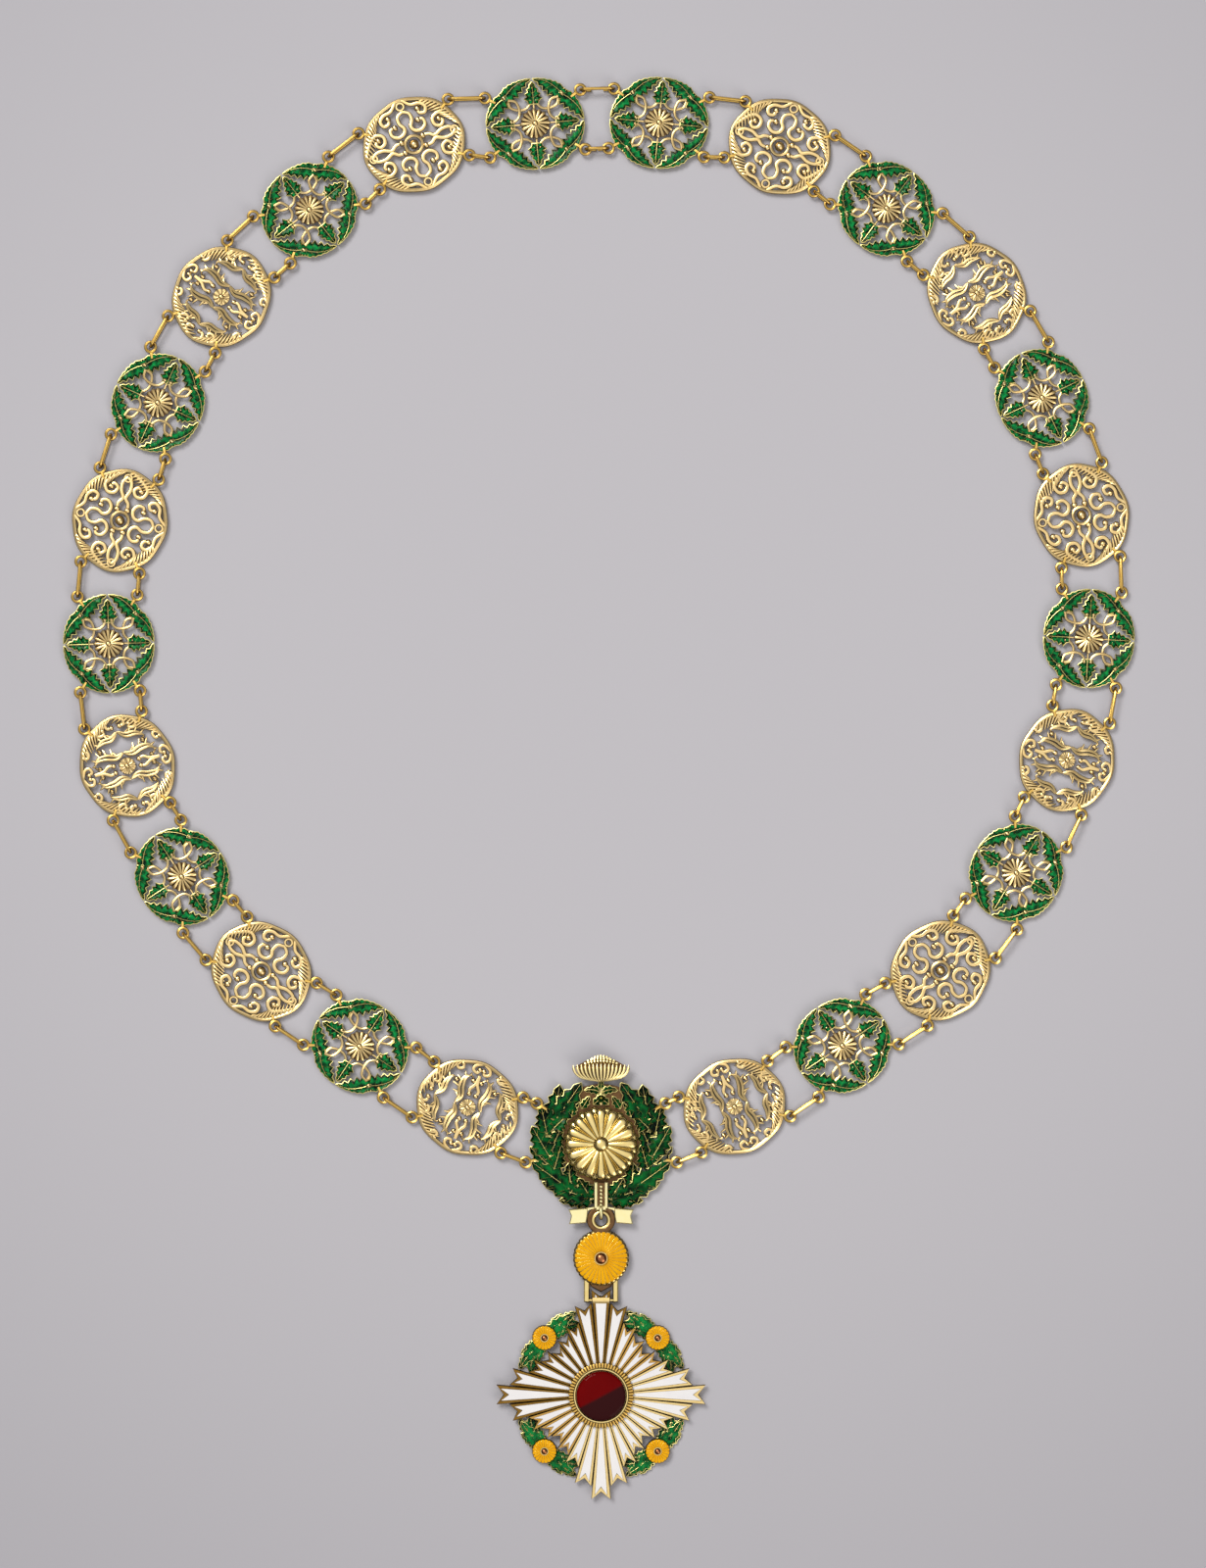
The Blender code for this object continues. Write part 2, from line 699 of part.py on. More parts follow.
def ray_half_width(distance):
    return distance * math.tan(math.pi / RAY_COUNT)


def disc_place(centre):
    """The disc hangs below the loop by its flat eye."""
    eye_drop = hanger_line() + (DISC_EYE_OUTER + DISC_EYE_HOLE) / 4
    reach = DISC_DIAMETER / 2 + DISC_EYE_OUTER / 2 - EYE_SINK
    return Vector((centre[0], centre[1] - eye_drop - reach))


def flower_disc(centre, yellow, gold, parent):
    """Petalled disc with a flat eye above, and two arms below that hold the hinge pin."""
    radius = DISC_DIAMETER / 2
    loop_level = hanger_bend() + HANGER_WIRE / 2
    top = loop_level + DISC_EYE_THICKNESS / 2
    low = max(top - DISC_THICKNESS - DISC_EYE_THICKNESS / 2, 0)
    count = 20
    corners = [(math.tau * (i + 0.5) / count, radius) for i in range(count)]
    outline, lobes = outline_with_eyes(
        corners, lambda angle: radius, [(math.pi / 2, True)], DISC_EYE_OUTER, EYE_SINK
    )
    eye = {"outer": DISC_EYE_OUTER, "hole": DISC_EYE_HOLE, "thickness": DISC_EYE_THICKNESS}
    raised = [(circle(radius * 0.9, ROUND_SIDES), ((0.25, DISC_DOME),))]
    bm = plate(outline, low, top, (), raised, (), lobes, eye)
    place = disc_place(centre)
    obj = add_object("flower_disc", bm, yellow, parent, (*place, 0))
    pin_y = -(radius + HINGE_DROP)
    inner = ray_half_width(BADGE_DIAMETER / 2) + SEAT_GAP
    bm = bmesh.new()
    for side in (-1, 1):
        ends = sorted((side * inner, side * (inner + ARM_WIDTH)))
        block(
            bm,
            (ends[0], pin_y - HINGE_PIN * 0.6, HINGE_HEIGHT - ARM_THICKNESS / 2),
            (ends[1], -radius * 0.7, HINGE_HEIGHT + ARM_THICKNESS / 2),
        )
    arms = add_object("flower_disc_arms", bm, gold, parent, (*place, 0))
    combine(obj, arms, "UNION")
    bm = cylinder_across(HINGE_PIN / 2, 2 * inner + ARM_WIDTH, 10, (0, pin_y, HINGE_HEIGHT))
    pin = add_object("flower_disc_pin", bm, gold, parent, (*place, 0))
    combine(obj, pin, "UNION")
    seat = top + DISC_DOME + SEAT_GAP
    profile = [(0.5, 0), (0.5, 0.35), (0.3, 0.85), (0, 1)]
    boss = turned([(r * DISC_BOSS_DIAMETER, seat + z * DISC_BOSS_HEIGHT) for r, z in profile], ROUND_SIDES)
    add_object("flower_disc_boss", boss, gold, parent, (*place, 0))
    return place + Vector((0, pin_y))


# Sun badge. Its pieces are placed from the hinge pin's axis.

def badge_centre():
    return (0, -(BADGE_DIAMETER / 2 - RAY_INSET), -HINGE_HEIGHT)


def badge_sun(white, pivot):
    """Rays with notched tips, longest on the axes, with a hub behind and the hinge's knuckle."""
    corners = []
    quarter = RAY_COUNT // 4
    half_ray = math.pi / RAY_COUNT * RAY_WIDTH_SHARE
    for i in range(RAY_COUNT):
        step = min(i % quarter, quarter - i % quarter)
        tip = BADGE_DIAMETER / 2 * RAY_TIPS[step]
        notch = BADGE_DIAMETER / 2 * RAY_NOTCHES[step]
        angle = math.tau * i / RAY_COUNT
        corners += [polar(angle - half_ray, tip), polar(angle, notch), polar(angle + half_ray, tip)]
    hub = [(circle(HUB_DIAMETER / 2, ROUND_SIDES), ((1.0, -RAY_LEVEL),))]
    bm = plate(corners, RAY_LEVEL, RAY_TOP, (), (), hub)
    obj = add_object("badge_sun", bm, white, pivot, badge_centre())
    half_width = ray_half_width(BADGE_DIAMETER / 2 - RAY_INSET) - SEAT_GAP
    bore = HINGE_PIN / 2 + HINGE_PLAY
    place = Vector(badge_centre()) * -1
    bm = cylinder_across(bore + KNUCKLE_WALL, 2 * half_width, ROUND_SIDES, place)
    knuckle = add_object("badge_sun_knuckle", bm, white, pivot, badge_centre())
    combine(obj, knuckle, "UNION")
    bm = cylinder_across(bore, 3 * half_width, ROUND_SIDES, place)
    cutter = add_object("badge_sun_bore", bm, white, pivot, badge_centre())
    combine(obj, cutter, "DIFFERENCE")


def badge_flower_distance():
    """Distance of a corner flower from the middle, just clear of the ray tips on both sides of it."""
    radius = BADGE_DIAMETER / 2
    tip = polar(math.tau / RAY_COUNT * (1 - RAY_WIDTH_SHARE / 2), radius * RAY_TIPS[3])
    clear = BADGE_FLOWER_DIAMETER / 2 + SEAT_GAP
    return tip[0] + math.sqrt(max(clear ** 2 - tip[1] ** 2, 0))


def badge_leaf_spray(name, quarter, green, pivot):
    """Two sprays of leaves behind the rays, which meet under a corner flower."""
    start = math.pi / 2 * quarter + math.radians(17)
    sweep = math.radians(56)
    teeth = 10
    longest = badge_flower_distance() + BADGE_FLOWER_DIAMETER * 0.4
    outer = []
    for i in range(teeth + 1):
        share = i / teeth
        swell = math.sin(math.pi * share) ** 0.5 if 0 < i < teeth else 0
        reach = longest * (0.86 + 0.14 * swell) * (1.0 if i % 2 else 0.965)
        outer.append(polar(start + sweep * share, reach))
    under_rays = BADGE_DIAMETER / 2 * RAY_NOTCHES[-1]
    inner = [polar(start + sweep * (1 - i / 4), under_rays) for i in range(5)]
    add_object(name, plate(outer + inner, 0, BADGE_LEAF_THICKNESS), green, pivot, badge_centre())


def badge_flower(name, quarter, yellow, pivot):
    """Round corner flower with a raised boss."""
    centre = polar(math.pi / 4 + math.pi / 2 * quarter, badge_flower_distance())
    profile = [(0.46, 0), (0.5, 0.35), (0.2, 0.55), (0.17, 0.95), (0, 1)]
    heights = [(r * BADGE_FLOWER_DIAMETER, RAY_LEVEL + z * BADGE_FLOWER_HEIGHT) for r, z in profile]
    add_object(name, turned(heights, ROUND_SIDES, centre), yellow, pivot, badge_centre())


def badge_middle(red, gold, pivot):
    """Domed red stone inside a raised gold bezel."""
    level = RAY_TOP + SEAT_GAP
    outer = circle(BEZEL_OUTER / 2, BEZEL_SIDES)
    hole = circle(CABOCHON_DIAMETER / 2 + 1.1 * SEAT_GAP, BEZEL_SIDES)
    bezel = plate(outer, level, level + BEZEL_HEIGHT, [hole])
    add_object("badge_bezel", bezel, gold, pivot, badge_centre())
    profile = [(1, 0), (1, 0.25), (0.86, 0.62), (0.55, 0.89), (0, 1)]
    radius = CABOCHON_DIAMETER / 2
    stone = turned([(r * radius, level + z * CABOCHON_HEIGHT) for r, z in profile], ROUND_SIDES)
    add_object("badge_cabochon", stone, red, pivot, badge_centre())


def rest_on_ground(collar):
    """Moves the whole collar so that the world's origin is below the middle of its bounding box."""
    bpy.context.view_layer.update()
    corners = []
    for obj in bpy.data.objects:
        if obj.type == "MESH":
            corners += [obj.matrix_world @ vert.co for vert in obj.data.vertices]
    low = Vector([min(corner[k] for corner in corners) for k in range(3)])
    high = Vector([max(corner[k] for corner in corners) for k in range(3)])
    collar.location = (-(low.x + high.x) / 2, -(low.y + high.y) / 2, -low.z)


clear_scene()
gold = material("gold", (0.76, 0.55, 0.22), 0.25, 1.0)
green_enamel = material("green_enamel", (0.01, 0.22, 0.07), 0.12, 0.0)
yellow_enamel = material("yellow_enamel", (0.85, 0.38, 0.02), 0.2, 0.0)
white_enamel = material("white_enamel", (0.86, 0.86, 0.88), 0.15, 0.0)
red_stone = material("red_stone", (0.18, 0.01, 0.02), 0.05, 0.0)

collar = empty("collar", (0, 0, 0))
layout = chain_layout()
wreath = layout[0]["place"]
wreath_leaves(layout, green_enamel, gold, collar)
wreath_rosette(wreath, gold, collar)
crest_flower(wreath, gold, collar)
ribbon_hanger(wreath, gold, collar)
add_medallions(layout, green_enamel, gold, collar)
hinge = flower_disc(wreath, yellow_enamel, gold, collar)
badge_pivot = empty("badge_pivot", (*hinge, HINGE_HEIGHT), collar)
badge_sun(white_enamel, badge_pivot)
for corner in range(4):
    badge_leaf_spray(f"badge_leaves_{corner + 1}", corner, green_enamel, badge_pivot)
    badge_flower(f"badge_flower_{corner + 1}", corner, yellow_enamel, badge_pivot)
badge_middle(red_stone, gold, badge_pivot)
rest_on_ground(collar)
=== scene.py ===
# Order collar laid flat and seen from straight above. Written in the frame of the CAD model,
# +Y from the badge to the clasp and +Z up. Sizes are in millimetres unless a name says otherwise.
import math

import bmesh
import bpy
from mathutils import Matrix, Vector


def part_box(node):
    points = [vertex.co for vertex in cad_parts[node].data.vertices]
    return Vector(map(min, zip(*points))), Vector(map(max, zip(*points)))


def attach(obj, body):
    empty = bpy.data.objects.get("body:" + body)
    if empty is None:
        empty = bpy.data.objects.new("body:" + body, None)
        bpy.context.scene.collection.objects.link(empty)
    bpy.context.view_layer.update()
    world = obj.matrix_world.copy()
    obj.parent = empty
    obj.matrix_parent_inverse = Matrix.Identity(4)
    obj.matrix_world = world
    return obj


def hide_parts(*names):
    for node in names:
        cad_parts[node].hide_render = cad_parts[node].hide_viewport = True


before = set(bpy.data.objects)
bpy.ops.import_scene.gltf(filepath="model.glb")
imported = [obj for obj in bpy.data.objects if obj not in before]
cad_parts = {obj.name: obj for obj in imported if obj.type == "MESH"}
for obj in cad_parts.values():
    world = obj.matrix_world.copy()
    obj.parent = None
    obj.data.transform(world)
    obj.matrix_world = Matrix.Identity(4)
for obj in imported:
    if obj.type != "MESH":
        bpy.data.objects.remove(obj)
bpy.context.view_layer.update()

# The table top, the camera straight above it and the soft light.
# The real collar lies on pale grey-lilac paper. One large soft light stands at the upper left,
# and a white ceiling over dark walls gives the gold its pale tops and darker sides, which painted shade
# turns brown.
MM = 0.001
CAMERA_HEIGHT = 1246.0
PHOTO_MIDDLE = (1.2, 0.8)
PAPER_HALF = 12.0  # metres, so that no edge of the paper is ever seen
PAPER_LEVEL = -0.0002  # metres, just clear of the backs that lie on it


def linear(code):
    """A colour from its hex code, as linear light."""
    channels = []
    for i in (0, 2, 4):
        value = int(code[i:i + 2], 16) / 255
        channels.append(value / 12.92 if value <= 0.04045 else ((value + 0.055) / 1.055) ** 2.4)
    return (*channels, 1.0)


def add_node(tree, kind, **values):
    """Adds a shader node; each value sets the input or the setting of that name."""
    node = tree.nodes.new("ShaderNode" + kind)
    for key, value in values.items():
        socket = node.inputs.get(key.replace("_", " "))
        if socket is not None:
            socket.default_value = value
        else:
            setattr(node, key, value)
    return node


def connect(tree, *links):
    """Joins shader nodes; each link is a node, its output, the next node and its input."""
    for source, output, target, socket in links:
        tree.links.new(source.outputs[output], target.inputs[socket])


def mix_colours(tree, first, second):
    """A node that goes from the first colour to the second."""
    node = add_node(tree, "Mix", data_type="RGBA")
    node.inputs[6].default_value = linear(first)
    node.inputs[7].default_value = linear(second)
    return node


def smooth_step(tree, first, last):
    """A node that rises smoothly from 0 at the first value to 1 at the last."""
    ramp = add_node(tree, "MapRange", From_Min=first, From_Max=last)
    ramp.interpolation_type = "SMOOTHSTEP"
    return ramp


def start_finish(name):
    """A new material, with its node tree and its shader."""
    finish = bpy.data.materials.new(name)
    finish.use_nodes = True
    return finish, finish.node_tree, finish.node_tree.nodes["Principled BSDF"]


camera_data = bpy.data.cameras.new("camera")
camera_data.lens = 100.0
camera_data.sensor_width = 36.0
camera_data.sensor_fit = "VERTICAL"
camera_data.sensor_height = 36.0
camera_data.clip_end = 10.0
camera = bpy.data.objects.new("camera", camera_data)
camera.location = (PHOTO_MIDDLE[0] * MM, PHOTO_MIDDLE[1] * MM, CAMERA_HEIGHT * MM)
bpy.context.scene.collection.objects.link(camera)
bpy.context.scene.camera = camera

paper = bpy.data.meshes.new("paper")
paper_corners = [(x * PAPER_HALF, y * PAPER_HALF, 0) for x, y in ((-1, -1), (1, -1), (1, 1), (-1, 1))]
paper.from_pydata(paper_corners, [], [(0, 1, 2, 3)])
# Grey-lilac paper is matt, with a painted pool of light: it darkens a little from the middle of the
# picture outwards.
paper_finish, paper_tree, paper_shader = start_finish("grey_lilac_paper")
paper_shader.inputs["Roughness"].default_value = 0.9
paper_place = add_node(paper_tree, "TexCoord")
from_middle = add_node(paper_tree, "VectorMath", operation="LENGTH")
off_centre = add_node(paper_tree, "VectorMath", operation="SUBTRACT")
off_centre.inputs[1].default_value = (0.0, 0.05, 0.0)
outward = smooth_step(paper_tree, 0.10, 0.50)
paper_painted_falloff = mix_colours(paper_tree, "C4C3CC", "A6A5AE")
connect(
    paper_tree,
    (paper_place, "Object", off_centre, 0),
    (off_centre, "Vector", from_middle, 0),
    (from_middle, "Value", outward, "Value"),
    (outward, "Result", paper_painted_falloff, 0),
    (paper_painted_falloff, 2, paper_shader, "Base Color"),
)
paper.materials.append(paper_finish)
table = bpy.data.objects.new("table", paper)
table.location = (0, 0, PAPER_LEVEL)
bpy.context.scene.collection.objects.link(table)

LAMPS = (  # name, place in metres, width in metres, power in watts, colour
    ("window", (-1.40, 1.80, 3.20), 1.50, 82.0, "FFFCF6"),
    ("white_wall", (1.05, -1.35, 1.25), 1.10, 10.0, "FFF8EE"),
)
for lamp_name, place, width, power, colour in LAMPS:
    lamp_data = bpy.data.lights.new(lamp_name, "AREA")
    lamp_data.shape = "SQUARE"
    lamp_data.size = width
    lamp_data.energy = power
    lamp_data.color = linear(colour)[:3]
    lamp = bpy.data.objects.new(lamp_name, lamp_data)
    lamp.location = place
    lamp.rotation_euler = (-Vector(place)).to_track_quat("-Z", "Y").to_euler()
    bpy.context.scene.collection.objects.link(lamp)

# The room has a white ceiling straight above, and walls that darken towards the table.
room = bpy.data.worlds.new("room")
bpy.context.scene.world = room
room.use_nodes = True
room_tree = room.node_tree
direction = add_node(room_tree, "TexCoord")
parts = add_node(room_tree, "SeparateXYZ")
height = smooth_step(room_tree, 0.45, 0.97)
shade = mix_colours(room_tree, "322D28", "F0EEEA")
connect(
    room_tree,
    (direction, "Generated", parts, 0),
    (parts, "Z", height, "Value"),
    (height, "Result", shade, 0),
    (shade, 2, room_tree.nodes["Background"], "Color"),
)
bpy.context.scene.view_settings.view_transform = "Standard"

# The layout of the chain, worked out as for the CAD model.
# A smooth closed line runs through the middles of the wreath and the 24 medallions. Each piece
# carries four flat ring eyes on its rim, two ahead and two behind.
MEDALLIONS = 24
MEDALLION_LENGTH = 30.0
MEDALLION_WIDTH = 27.6
WREATH_RADIUS = 20.6
WREATH_HALF_STEP = 19.6
LINK_GAP = 5.4
EYE_OUTER = 3.75
EYE_HOLE = 2.0
EYE_SUNK = 0.2  # how far an eye is let into the rim
EYE_ANGLE = math.radians(32)
WREATH_EYE_ANGLES = (math.radians(32), math.radians(-14))
CHAIN_ROUTE = [
    (0.0, -147.5), (39.0, -136.5), (99.0, -96.0), (133.5, -36.5), (137.0, 33.0),
    (105.5, 97.5), (49.0, 138.0), (-3.0, 143.5), (-55.0, 137.0), (-109.0, 93.5),
    (-137.5, 30.0), (-135.5, -39.0), (-99.0, -96.5), (-39.5, -136.5),
]


def polar(angle, distance, centre=(0, 0)):
    return Vector((centre[0] + distance * math.cos(angle), centre[1] + distance * math.sin(angle)))


def medallion_rim(angle):
    across = math.hypot(math.cos(angle) / MEDALLION_LENGTH, math.sin(angle) / MEDALLION_WIDTH)
    return 0.5 / across * (1 - 0.02 * (0.5 - 0.5 * math.cos(8 * angle)))


def wreath_rim(angle):
    return WREATH_RADIUS - 1.2 * (0.5 - 0.5 * math.cos(14 * (angle - math.pi / 2)))


def smooth(points, steps, closed=False):
    """Points of a smooth curve through the given ones, flat or in space."""
    points = [Vector(point) for point in points]
    count = len(points)
    curve = []
    for i in range(count if closed else count - 1):
        picked = []
        for k in (-1, 0, 1, 2):
            if closed:
                picked.append(points[(i + k) % count])
            else:
                picked.append(points[min(max(i + k, 0), count - 1)])
        a, b, c, d = picked
        for j in range(steps):
            t = j / steps
            bend = (a * 2 - b * 5 + c * 4 - d) * t * t + (b * 3 - a - c * 3 + d) * t ** 3
            curve.append((b * 2 + (c - a) * t + bend) / 2)
    if not closed:
        curve.append(points[-1])
    return curve


def spaced_along(curve, distances):
    """Places along a closed curve, enlarged so that the distances go round it exactly once."""
    count = len(curve)
    lengths = [(curve[(i + 1) % count] - curve[i]).length for i in range(count)]
    scale = sum(distances) / sum(lengths)
    places = []
    wanted, passed, i = 0.0, 0.0, 0
    for distance in distances:
        while passed + lengths[i] * scale < wanted:
            passed += lengths[i] * scale
            i += 1
        share = (wanted - passed) / (lengths[i] * scale)
        places.append(curve[i].lerp(curve[(i + 1) % count], share) * scale)
        wanted += distance
    return places


def flat_middle(box):
    """The flat middle of a CAD node's box, in millimetres."""
    low, high = box
    return (low + high).to_2d() / 2 / MM


half_steps = [WREATH_HALF_STEP] + [MEDALLION_LENGTH / 2] * MEDALLIONS
steps = []
for i, half_step in enumerate(half_steps):
    steps.append(half_step + LINK_GAP + half_steps[(i + 1) % len(half_steps)])
places = spaced_along(smooth(CHAIN_ROUTE, 40, closed=True), steps)
wreath_place = flat_middle(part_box("wreath_rosette"))
shift = wreath_place - places[0]
chain = []
for i, place in enumerate(places):
    ahead = places[(i + 1) % len(places)] - places[i - 1]
    turn = math.atan2(ahead.y, ahead.x) if i else 0.0
    rim = medallion_rim if i else wreath_rim
    inner, outer = (EYE_ANGLE, -EYE_ANGLE) if i else WREATH_EYE_ANGLES
    angles = (inner, outer, math.pi - inner, math.pi - outer)
    eyes = [polar(angle, rim(angle) + EYE_OUTER / 2 - EYE_SUNK) for angle in angles]
    chain.append({"place": place + shift, "turn": turn, "eyes": eyes})

# The enamelled medallions, twelve alike.
# Each is cast and pierced gold: serrated leaves filled with translucent emerald enamel, thin
# scrolls between them and a small rosette. The gold shows as a bright thread round every leaf.
EYE_WIRE = (EYE_OUTER - EYE_HOLE) / 2
EYE_MIDDLE = (EYE_OUTER + EYE_HOLE) / 4
EYE_LEVEL = 1.728
GOLD, LINK, GREEN, SHADE_BROWN, THREAD = range(5)  # the order of the finishes in a leafy mesh
SHADE_BACKING = 1  # the second finish of a mesh that has a backing in painted shade brown


class Shape:
    """Gathers corners and faces in millimetres, with the number of each face's finish."""

    def __init__(self):
        self.corners = []
        self.faces = []
        self.kinds = []

    def add(self, corners, faces, kind):
        first = len(self.corners)
        self.corners += [tuple(corner) for corner in corners]
        self.faces += [[first + k for k in face] for face in faces]
        self.kinds += [kind] * len(faces)

    def mesh(self, name, finishes, sharp=38):
        """The mesh in metres, with outward faces, smooth except at sharp edges."""
        made = bpy.data.meshes.new(name)
        made.from_pydata([[v * MM for v in corner] for corner in self.corners], [], self.faces)
        for finish in finishes:
            made.materials.append(finish)
        made.polygons.foreach_set("material_index", self.kinds)
        bm = bmesh.new()
        bm.from_mesh(made)
        bmesh.ops.recalc_face_normals(bm, faces=bm.faces)
        bm.to_mesh(made)
        bm.free()
        made.shade_smooth()
        made.set_sharp_from_angle(angle=math.radians(sharp))
        return made


def make_piece(name, mesh, body, nodes, place=(0, 0), turn=0.0):
    """Places a mesh, ties it to its body and lets it stand for its CAD nodes."""
    obj = bpy.data.objects.new(name, mesh)
    bpy.context.scene.collection.objects.link(obj)
    obj.location = (place[0] * MM, place[1] * MM, 0)
    obj.rotation_euler = (0, 0, turn)
    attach(obj, body)
    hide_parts(*nodes)
    return obj


def band_faces(rows, sides, closed=False):
    """The faces between rows of corners; closed joins the last row to the first."""
    faces = []
    for j in range(rows if closed else rows - 1):
        m = (j + 1) % rows
        for i in range(sides):
            k = (i + 1) % sides
            faces.append((j * sides + i, j * sides + k, m * sides + k, m * sides + i))
    return faces


def skin_faces(rows, sides, closed=False):
    """The faces of a whole body: closed into a ring, or capped at both ends."""
    faces = band_faces(rows, sides, closed)
    if not closed:
        faces += [tuple(range(sides)), tuple(range((rows - 1) * sides, rows * sides))]
    return faces


def tube(shape, line, radius, kind, sides=6, closed=False, across=None, flat=1.0):
    """A round wire along a line; its radius is one number or one for each point."""
    count = len(line)
    line = [Vector(point) for point in line]
    corners = []
    for i, place in enumerate(line):
        before = line[i - 1] if i or closed else place
        after = line[(i + 1) % count] if i < count - 1 or closed else place
        heading = (after - before).normalized()
        side = Vector(across) if across else Vector((-heading.y, heading.x, 0)).normalized()
        up = side.cross(heading)
        reach = radius[i] if isinstance(radius, (list, tuple)) else radius
        for k in range(sides):
            angle = math.tau * k / sides
            corners.append(place + side * reach * math.cos(angle) + up * reach * flat * math.sin(angle))
    shape.add(corners, skin_faces(count, sides, closed), kind)


def ball(shape, centre, radius, kind, sides=8, flat=1.0):
    """A round bead, drawn as a short wire that swells and closes."""
    rows = 6
    line, reach = [], []
    for i in range(rows + 1):
        angle = math.pi * i / rows
        line.append((centre[0] - radius * math.cos(angle), centre[1], centre[2]))
        reach.append(max(radius * math.sin(angle), radius * 0.04))
    tube(shape, line, reach, kind, sides, across=(0, 1, 0), flat=flat)


def ring(shape, centre, radius, wire, kind, sides=20, wire_sides=8, flat=1.0):
    line = [(*polar(math.tau * i / sides, radius, centre), centre[2]) for i in range(sides)]
    tube(shape, line, wire, kind, wire_sides, closed=True, flat=flat)


def leaf(
    shape, base, tip, width, teeth, look, bend=0.0, fullness=0.7, kinds=(GREEN, THREAD),
    lift=0.0, heart=0.12, within=None,
):
    """A serrated leaf: crowned face, gold thread on its edge, midrib, side veins and a flat back."""
    base, tip = Vector(base), Vector(tip)
    length = (tip - base).length
    along = (tip - base).normalized()
    across = Vector((-along.y, along.x))
    low, edge, crown = look["low"] + lift, look["edge"] + lift, look["crown"]

    def spot(share, off, level):
        point = base + along * share * length + across * (off + bend * 4 * share * (1 - share))
        if within:
            limit = within(math.atan2(point.y, point.x)) * 0.92
            if point.length > limit:
                point *= (limit + (point.length - limit) * 0.27) / point.length
        return (*point, level)

    rows = [(0.0, heart, -0.06 * (heart > 0.3))]
    for i in range(teeth):
        valley = (i + 0.35) / (teeth + 0.55)
        point = (i + 0.95) / (teeth + 0.55)
        rows.append((valley, look["notch"] * math.sin(math.pi * valley ** fullness) ** 0.7, 0.0))
        rows.append((point, look["point"] * math.sin(math.pi * point ** fullness) ** 0.7, look["lead"]))
    rows.append((1.0, 0.02, 0.0))
    columns = (-1.0, -0.55, 0.0, 0.55, 1.0)
    rise = (0.0, 1.0, 0.25, 1.0, 0.0)
    top, faces = [], []
    for share, half, lead in rows:
        for u, up in zip(columns, rise):
            back = lead * (1 - abs(u) ** 1.5)
            level = edge + crown * up * min(1.0, half * 1.6)
            top.append(spot(share - back if share else lead * abs(u), u * half * width / 2, level))
    for i in range(len(rows) - 1):
        for k in range(4):
            a = i * 5 + k
            faces.append((a, a + 1, a + 6, a + 5))
    shape.add(top, faces, kinds[0])
    rim = [Vector(point) for point in top[::5] + top[4::5][::-1]]
    foot = [Vector((point.x, point.y, low)) for point in rim]
    count = len(rim)
    last = 2 * count - 1
    backs = [(count + i, count + i + 1, last - 1 - i, last - i) for i in range(len(rows) - 1)]
    shape.add(rim + foot, band_faces(2, count) + backs, kinds[1])
    thread = [point + Vector((0, 0, 0.08)) for point in rim]
    tube(shape, thread, look["thread"], kinds[1], 5, closed=True)
    middle = [spot(share, 0, edge + crown * 0.32) for share in (0, 0.2, 0.4, 0.6, 0.8, 0.96)]
    thick = look["vein"]
    tube(shape, middle, [thick * share for share in (1, 0.95, 0.9, 0.8, 0.65, 0.4)], kinds[1], 5)
    for i in range(1, len(rows) - 2, 2):
        start = max(rows[i][0] - 0.06, 0.02)
        share, half, lead = rows[i + 1]
        for side in (-1, 1):
            reach = side * half * width / 2
            line = [
                spot(start, 0, edge + crown * 0.3),
                spot(start + (share - start) * 0.55, reach * 0.5, edge + crown * 1.02),
                spot(share - 0.02, reach * 0.88, edge + crown * 0.35),
            ]
            tube(shape, line, [thick * 0.6, thick * 0.5, thick * 0.3], kinds[1], 4)


def slab(shape, outline, low, high, kind, bevel=0.25):
    """A flat plate with a small bevel round its face."""
    points = [Vector(point) for point in outline]
    count = len(points)
    area = sum(points[i - 1].cross(points[i]) for i in range(count))
    if area < 0:
        points.reverse()
    inner = []
    for i, point in enumerate(points):
        before = (point - points[i - 1]).normalized()
        after = (points[(i + 1) % count] - point).normalized()
        mitre = Vector((-before.y - after.y, before.x + after.x))
        inner.append(point + mitre * bevel / max(1 + before.dot(after), 0.35))
    corners = [(*point, low) for point in points] + [(*point, high - bevel) for point in points]
    corners += [(*point, high) for point in inner]
    faces = [tuple(range(count)), tuple(range(2 * count, 3 * count))]
    shape.add(corners, faces + band_faces(3, count), kind)


def petal_rosette(shape, radius, petals, low, rise, ball_radius, back_kind):
    """A round flower head: rounded petals over a thin round plate, and a bead in the middle."""
    for i in range(petals):
        angle = math.tau * i / petals
        line, thick = [], []
        for share in (0.12, 0.3, 0.5, 0.7, 0.85, 0.94, 1.0):
            line.append((*polar(angle, radius * share), low + rise * (0.62 - 0.45 * share ** 2.6)))
            swell = radius * (0.03 + 0.118 * share)
            if share > 0.9:
                swell *= 0.85 if share < 1 else 0.3
            thick.append(swell)
        tube(shape, line, thick, GOLD, 8, flat=0.85)
    plate = [polar(math.tau * i / 32, radius * 0.93) for i in range(32)]
    slab(shape, plate, low - rise * 0.4, low, back_kind, 0.05)
    ball(shape, (0, 0, low + rise * 0.62), ball_radius, GOLD, 14, flat=0.75)


def add_eyes(shape, eyes, rim_points):
    """Flat ring eyes with a short neck to the rim."""
    for eye, root in zip(eyes, rim_points):
        ring(shape, (*eye, EYE_LEVEL), EYE_MIDDLE, EYE_WIRE / 2, LINK, 22, 8)
        inward = (Vector(root) - eye).normalized()
        reaches = (EYE_MIDDLE, EYE_MIDDLE + 0.9, EYE_MIDDLE + 1.9)
        neck = [(*(eye + inward * reach), EYE_LEVEL - 0.15) for reach in reaches]
        tube(shape, neck, [0.55, 0.62, 0.5], LINK, 6)


